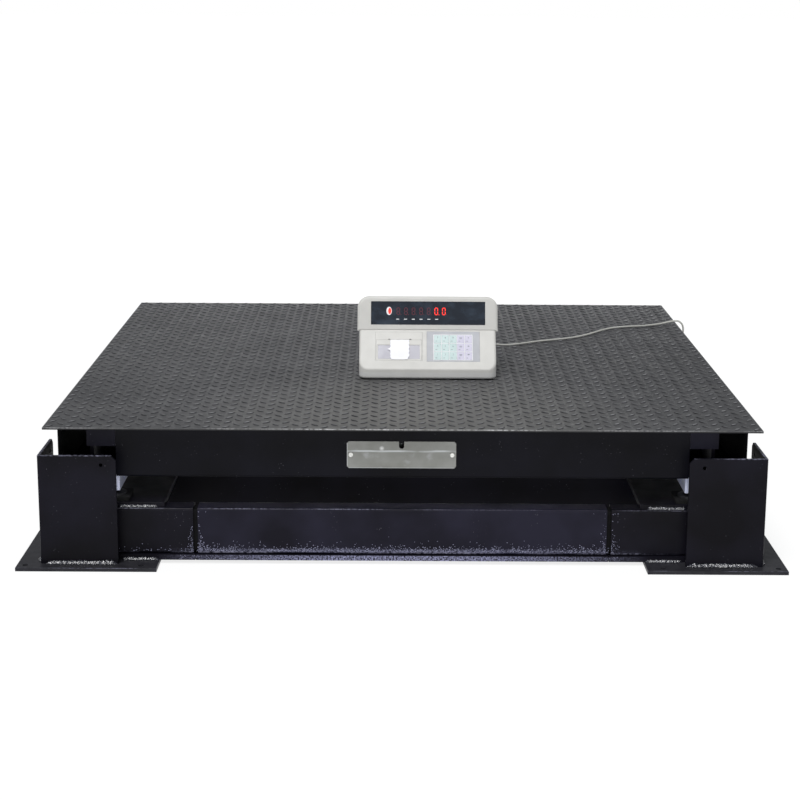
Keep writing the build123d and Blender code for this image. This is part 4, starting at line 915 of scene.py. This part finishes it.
MARK_COUNT = 6
MARK_PITCH = 18.4 * MM
MARKS_X = -25.8 * MM
MARKS_Y = -14.6 * MM
MARK_W = 7.0 * MM
MARK_H = 1.8 * MM
LAMP_X = -92.0 * MM
LAMP_Y = DIGITS_Y + 0.5 * MM
LAMP_RIM = (13.0 * MM, 20.0 * MM)
LAMP_SIZE = (7.0 * MM, 15.0 * MM)
LAMP_SHIFT = 1.5 * MM  # of the lamp in its rim, to the right


def make_window_marks():
    """Plain white dashes under the digits, and a status lamp in a pale oval rim."""
    marks = bmesh.new()
    for index in range(MARK_COUNT):
        x = MARKS_X + (index - (MARK_COUNT - 1) / 2) * MARK_PITCH
        add_plate(marks, rectangle(x, MARKS_Y, MARK_W, MARK_H), ON_WINDOW, PRINT_T)
    add_plate(marks, ellipse(LAMP_X, LAMP_Y, *LAMP_RIM), ON_WINDOW, PRINT_T)
    piece_from(marks, "window_marks", WHITE_INK, DECK)
    lamp = bmesh.new()
    above = ON_WINDOW @ Matrix.Translation((0.0, 0.0, PRINT_T))
    add_plate(lamp, ellipse(LAMP_X + LAMP_SHIFT, LAMP_Y, *LAMP_SIZE), above, PRINT_T)
    piece_from(lamp, "status_lamp", SEGMENT_LIT, DECK)


# ---- keypad

KEY_ROWS = 3
KEY_COLUMNS = 5
GRID_LINE = 1.3 * MM
GRID_H = 0.7 * MM
LEGENDS = ["789", "456", "123"]
LEGEND_SIZE = 6.4 * MM
LEGEND_Y = 3.6 * MM  # from the key's middle
DASH_Y = -5.4 * MM
KEY_TOP = 0.8 * MM + 0.02 * MM  # above the slope, with a gap over the key's own face


def on_slope(point):
    """A point's x and y on the key slope."""
    local = SLOPE.inverted() @ point
    return local.x, local.y


def make_key_grid():
    """White printed lines between and around the keys."""
    left, top = on_slope(middle("key_11"))
    right, bottom = on_slope(middle(f"key_{KEY_ROWS}{KEY_COLUMNS}"))
    pitch_x = (right - left) / (KEY_COLUMNS - 1)
    pitch_y = (top - bottom) / (KEY_ROWS - 1)
    centre_x, centre_y = (left + right) / 2, (top + bottom) / 2
    width, height = pitch_x * KEY_COLUMNS, pitch_y * KEY_ROWS
    form = bmesh.new()
    lowered = SLOPE @ Matrix.Translation((0.0, 0.0, 0.02 * MM))
    for column in range(KEY_COLUMNS + 1):
        x = left + (column - 0.5) * pitch_x
        add_plate(form, rectangle(x, centre_y, GRID_LINE, height + GRID_LINE), lowered, GRID_H)
    raised = SLOPE @ Matrix.Translation((0.0, 0.0, 0.03 * MM))
    for row in range(KEY_ROWS + 1):
        y = bottom + (row - 0.5) * pitch_y
        add_plate(form, rectangle(centre_x, y, width + GRID_LINE, GRID_LINE), raised, GRID_H)
    piece_from(form, "key_grid", WHITE_INK, DECK)


def legend_mesh(character, place):
    """A digit as a flat mesh about the origin of `place`."""
    text = bpy.data.curves.new(f"text_{character}", "FONT")
    text.body = character
    text.size = LEGEND_SIZE
    text.align_x = "CENTER"
    text.align_y = "CENTER"
    text.extrude = 0.04 * MM
    text.resolution_u = 3
    holder = linked("holder", text)
    bpy.context.view_layer.update()
    shown = holder.evaluated_get(bpy.context.evaluated_depsgraph_get())
    mesh_data = bpy.data.meshes.new_from_object(shown)
    bpy.data.objects.remove(holder)
    mesh_data.transform(place)
    return mesh_data


def make_legends():
    """Digits on the mint keys, plain shapes on the lavender ones, and a dash under each."""
    for row in range(KEY_ROWS):
        for column in range(KEY_COLUMNS):
            key = f"key_{row + 1}{column + 1}"
            x, y = on_slope(middle(key))
            place = SLOPE @ Matrix.Translation((x, y + LEGEND_Y, KEY_TOP))
            low = SLOPE @ Matrix.Translation((x, y + DASH_Y, KEY_TOP))
            form = bmesh.new()
            add_plate(form, rectangle(-3.0 * MM, 0.0, 4.0 * MM, 1.1 * MM), low, PRINT_T)
            if column < len(LEGENDS[row]):
                form.from_mesh(legend_mesh(LEGENDS[row][column], place))
            elif column == 3:
                add_plate(form, rectangle(0.0, 0.0, 7.0 * MM, 1.2 * MM), place, PRINT_T)
                add_plate(form, rectangle(0.0, -2.4 * MM, 5.0 * MM, 1.0 * MM), place, PRINT_T)
            else:
                add_plate(form, ellipse(0.0, 0.0, 5.0 * MM, 3.2 * MM, 3 + row), place, PRINT_T)
            name = f"legend_{row + 1}{column + 1}"
            piece_from(form, name, GREY_INK, key)


# ---- printer

SLIP_W = 44.0 * MM
SLIP_T = 0.08 * MM
SLIP_TOP = 53.0 * MM  # just under the tear bar, up the slope from the door's hinge
SLIP_LOW = 0.6 * MM
SLIP_COLUMNS = 44
SLIP_ROWS = 60
SLIP_X = middle("paper_slip").x - middle("case_base").x


def slip_width(share):
    """How far the slip's torn sides stand out, as a share of its half width: (left, right)."""
    left = 1.0 - 0.10 * max(0.0, 1.0 - share / 0.16) ** 1.5 - 0.02 * math.sin(40 * share)
    right = 1.0 - 0.22 * max(0.0, 1.0 - share / 0.14) + 0.03 * math.sin(31 * share + 1.0)
    tab = 0.36 * max(0.0, 1.0 - abs(share - 0.52) / 0.07)
    return left + tab, right


def slip_point(share, across):
    """A place on the slip: `share` from its torn end up to the tear bar, `across` from -1 to 1."""
    left, right = slip_width(share)
    x = SLIP_X + across * (right if across > 0 else left) * SLIP_W / 2
    ragged = 1.3 * MM * abs(noise.noise(Vector((across * 3.2, 0.0, 7.0)))) * (1.0 - share) ** 8
    y = SLIP_LOW + ragged + share * (SLIP_TOP - SLIP_LOW - ragged)
    lift = 0.5 * MM + 1.6 * MM * math.sin(math.pi * share) ** 2 * (0.75 + 0.25 * math.cos(2.0 * across))
    flute = 0.25 * MM * math.sin(9.0 * across) * share ** 2
    curl = 0.8 * MM * max(0.0, 0.2 - share) / 0.2 * across ** 2
    return Vector((x, y, lift + flute + curl))


def make_slip():
    """Printed slip: it lifts a little off the well and ends in a ragged tear."""
    form = bmesh.new()
    sheets = []
    for thickness in (0.0, SLIP_T):
        grid = []
        for row in range(SLIP_ROWS + 1):
            line = []
            for column in range(SLIP_COLUMNS + 1):
                spot = slip_point(row / SLIP_ROWS, -1.0 + 2.0 * column / SLIP_COLUMNS)
                line.append(form.verts.new(SLOPE @ (spot + Vector((0.0, 0.0, thickness)))))
            grid.append(line)
        sheets.append(grid)
    for row in range(SLIP_ROWS):
        for column in range(SLIP_COLUMNS):
            for grid in sheets:
                near, far = grid[row], grid[row + 1]
                form.faces.new((near[column], near[column + 1], far[column + 1], far[column]))
    loop = [(0, column) for column in range(SLIP_COLUMNS)]
    loop += [(row, SLIP_COLUMNS) for row in range(SLIP_ROWS)]
    loop += [(SLIP_ROWS, column) for column in range(SLIP_COLUMNS, 0, -1)]
    loop += [(row, 0) for row in range(SLIP_ROWS, 0, -1)]
    add_skin(form, [[grid[row][column] for row, column in loop] for grid in sheets])
    piece = piece_from(form, "printed_slip", PAPER, "printer_door")
    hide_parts("paper_slip")


TEAR_BAR_PROUD = 0.8 * MM
TEAR_END_X = 24.6 * MM
TEAR_END_Y = 54.4 * MM
TEAR_END_SIZE = (4.6 * MM, 1.6 * MM)


def make_tear_bar_ends():
    """Dark ends of the tear bar, on both sides of the slip."""
    form = bmesh.new()
    on_bar = SLOPE @ Matrix.Translation((SLIP_X, TEAR_END_Y, TEAR_BAR_PROUD + 0.02 * MM))
    for side in (-1, 1):
        add_plate(form, rectangle(side * TEAR_END_X, 0.0, *TEAR_END_SIZE), on_bar, PRINT_T)
    piece_from(form, "tear_bar_ends", BLACK_INK, DECK)


WELL_W = 98.0 * MM
WELL_L = 36.0 * MM
WELL_Y = 21.0 * MM
WELL_DEPTH = 1.0 * MM
LINER_T = 0.3 * MM
LINER_BEVEL = 0.1 * MM


def make_well_liner():
    """Tinted liner in the printer door's shallow well."""
    form = bmesh.new()
    x = middle("printer_door").x - middle("case_base").x
    bottom = SLOPE @ Matrix.Translation((x, WELL_Y, -WELL_DEPTH + 0.02 * MM))
    add_plate(form, rectangle(0.0, 0.0, WELL_W, WELL_L), bottom, LINER_T)
    bmesh.ops.bevel(form, geom=form.edges[:], offset=LINER_BEVEL, segments=1, affect="EDGES")
    piece_from(form, "door_well_liner", WELL_TINT, "printer_door")


# ---- cord

CORD_D = 5.0 * MM
CORD_ROUTE = [
    (0.178, 0.028, 0.331),
    (0.178, 0.052, 0.331),
    (0.196, 0.072, 0.322),
    (0.224, 0.090, 0.310),
    (0.262, 0.118, 0.301),
    (0.303, 0.154, 0.298),
    (0.352, 0.190, 0.298),
    (0.399, 0.213, 0.298),
    (0.446, 0.239, 0.298),
    (0.490, 0.284, 0.298),
    (0.524, 0.334, 0.298),
    (0.560, 0.378, 0.298),
    (0.605, 0.401, 0.298),
    (0.652, 0.411, 0.298),
    (0.696, 0.430, 0.299),
    (0.735, 0.456, 0.303),
    (0.754, 0.463, 0.3035),
    (0.767, 0.466, 0.294),
    (0.771, 0.467, 0.276),
    (0.767, 0.468, 0.258),
    (0.756, 0.468, 0.243),
    (0.739, 0.468, 0.243),
]


def make_cord():
    """The indicator's cord: across the deck, over its right edge and into the gland."""
    line = bpy.data.curves.new("cord", "CURVE")
    line.dimensions = "3D"
    line.bevel_depth = CORD_D / 2
    line.bevel_resolution = 5
    line.use_fill_caps = True
    spline = line.splines.new("NURBS")
    spline.points.add(len(CORD_ROUTE) - 1)
    for point, place in zip(spline.points, CORD_ROUTE):
        point.co = (*place, 1.0)
    spline.order_u = 3
    spline.use_endpoint_u = True
    spline.resolution_u = 8
    line.materials.append(CORD_GREY)
    piece = linked("cord", line)
    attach(piece, DECK)
    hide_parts("indicator_cord")


# ---- camera, floor and light

CAMERA_PLACE = Vector((-0.0156, -4.398, 1.2017))
CAMERA_YAW = 0.0025
CAMERA_PITCH = 0.2274
CAMERA_ROLL = -0.0059
CAMERA_LENS = 81.45
FLOOR_SIZE = 120.0
FLOOR_LOW = -0.01
FLOOR_GAP = 0.2 * MM  # under the anchor plates
FILL_Z = 0.34
FILL_OUT = 3.2


def make_camera():
    camera = bpy.data.cameras.new("camera")
    camera.lens = CAMERA_LENS
    camera.sensor_width = 36.0
    camera.clip_end = 300.0
    holder = linked("camera", camera)
    holder.matrix_world = (
        Matrix.Translation(CAMERA_PLACE)
        @ Matrix.Rotation(-CAMERA_YAW, 4, "Z")
        @ Matrix.Rotation(math.pi / 2 - CAMERA_PITCH, 4, "X")
        @ Matrix.Rotation(-CAMERA_ROLL, 4, "Z")
    )
    bpy.context.scene.camera = holder


def make_floor():
    """Plain white floor, lit from below like a product table."""
    form = bmesh.new()
    below = Matrix.Translation((0, 0, FLOOR_LOW))
    add_plate(form, rectangle(0.0, 0.0, FLOOR_SIZE, FLOOR_SIZE), below, -FLOOR_LOW - FLOOR_GAP)
    paper = Finish("floor", srgb(130, 130, 130), 0.9, specular=0.0)
    paper.set({"Emission Color": (1.0, 1.0, 1.0, 1.0), "Emission Strength": 0.8})
    floor = linked("floor", mesh_from(form, "floor", paper.material))


def add_sun(name, strength, elevation, azimuth, softness):
    """Soft distant light. Azimuth 0 comes from the front, and 90 from the right."""
    sun = bpy.data.lights.new(name, "SUN")
    sun.energy = strength
    sun.angle = math.radians(softness)
    holder = linked(name, sun)
    up, side = math.radians(elevation), math.radians(azimuth)
    towards = Vector((math.sin(side) * math.cos(up), -math.cos(side) * math.cos(up), math.sin(up)))
    holder.rotation_euler = (-towards).to_track_quat("-Z", "Y").to_euler()


def add_softbox(name, place, target, width, height, power, sheen_only=False):
    """Rectangular light that isn't seen by the camera. `sheen_only` lights reflections alone."""
    light = bpy.data.lights.new(name, "AREA")
    light.shape = "RECTANGLE"
    light.size = width
    light.size_y = height
    light.energy = power
    holder = linked(name, light)
    holder.location = place
    holder.rotation_euler = (Vector(target) - Vector(place)).to_track_quat("-Z", "Y").to_euler()
    holder.visible_camera = False
    holder.visible_diffuse = not sheen_only


def make_world():
    """White studio round the object, dimmer in reflections than it looks."""
    world = bpy.data.worlds.new("studio")
    world.use_nodes = True
    tree = world.node_tree
    shown = tree.nodes["Background"]
    shown.inputs["Color"].default_value = (1.0, 1.0, 1.0, 1.0)
    lighting = tree.nodes.new("ShaderNodeBackground")
    lighting.inputs["Color"].default_value = (0.94, 0.97, 1.0, 1.0)
    lighting.inputs["Strength"].default_value = 0.32
    rays = tree.nodes.new("ShaderNodeLightPath")
    choice = tree.nodes.new("ShaderNodeMixShader")
    tree.links.new(rays.outputs["Is Camera Ray"], choice.inputs[0])
    tree.links.new(lighting.outputs[0], choice.inputs[1])
    tree.links.new(shown.outputs[0], choice.inputs[2])
    tree.links.new(choice.outputs[0], tree.nodes["World Output"].inputs["Surface"])
    bpy.context.scene.world = world


make_camera()
make_cord()
finish_cad_nodes()
make_tread("tread_rising", 0.0, 45.0, LIT_TREAD_RISING)
make_tread("tread_falling", LENTIL_PITCH / 2, -45.0, SHADED_TREAD_FALLING)
make_welds()
make_spatter()
make_pads()
make_digits()
make_window_marks()
make_key_grid()
make_legends()
make_slip()
make_tear_bar_ends()
make_well_liner()
make_floor()
make_world()
add_sun("key_light", 2.3, 66.0, -25.0, 25.0)
add_softbox("back_sheen", (0.1, 4.6, 1.5), (0.1, 0.0, 0.3), 3.2, 1.2, 4.0, sheen_only=True)
for side, x, y, power in (
    ("front", 0, -1, 16.0), ("rear", 0, 1, 14.0), ("left", -1, 0, 10.0), ("right", 1, 0, 10.0),
):
    place, target = (x * FILL_OUT, y * FILL_OUT, FILL_Z), (x * 0.7, y * 0.7, 0.17)
    add_softbox(f"{side}_fill", place, target, 2.4, 0.4, power)
bpy.context.scene.view_settings.view_transform = "Standard"
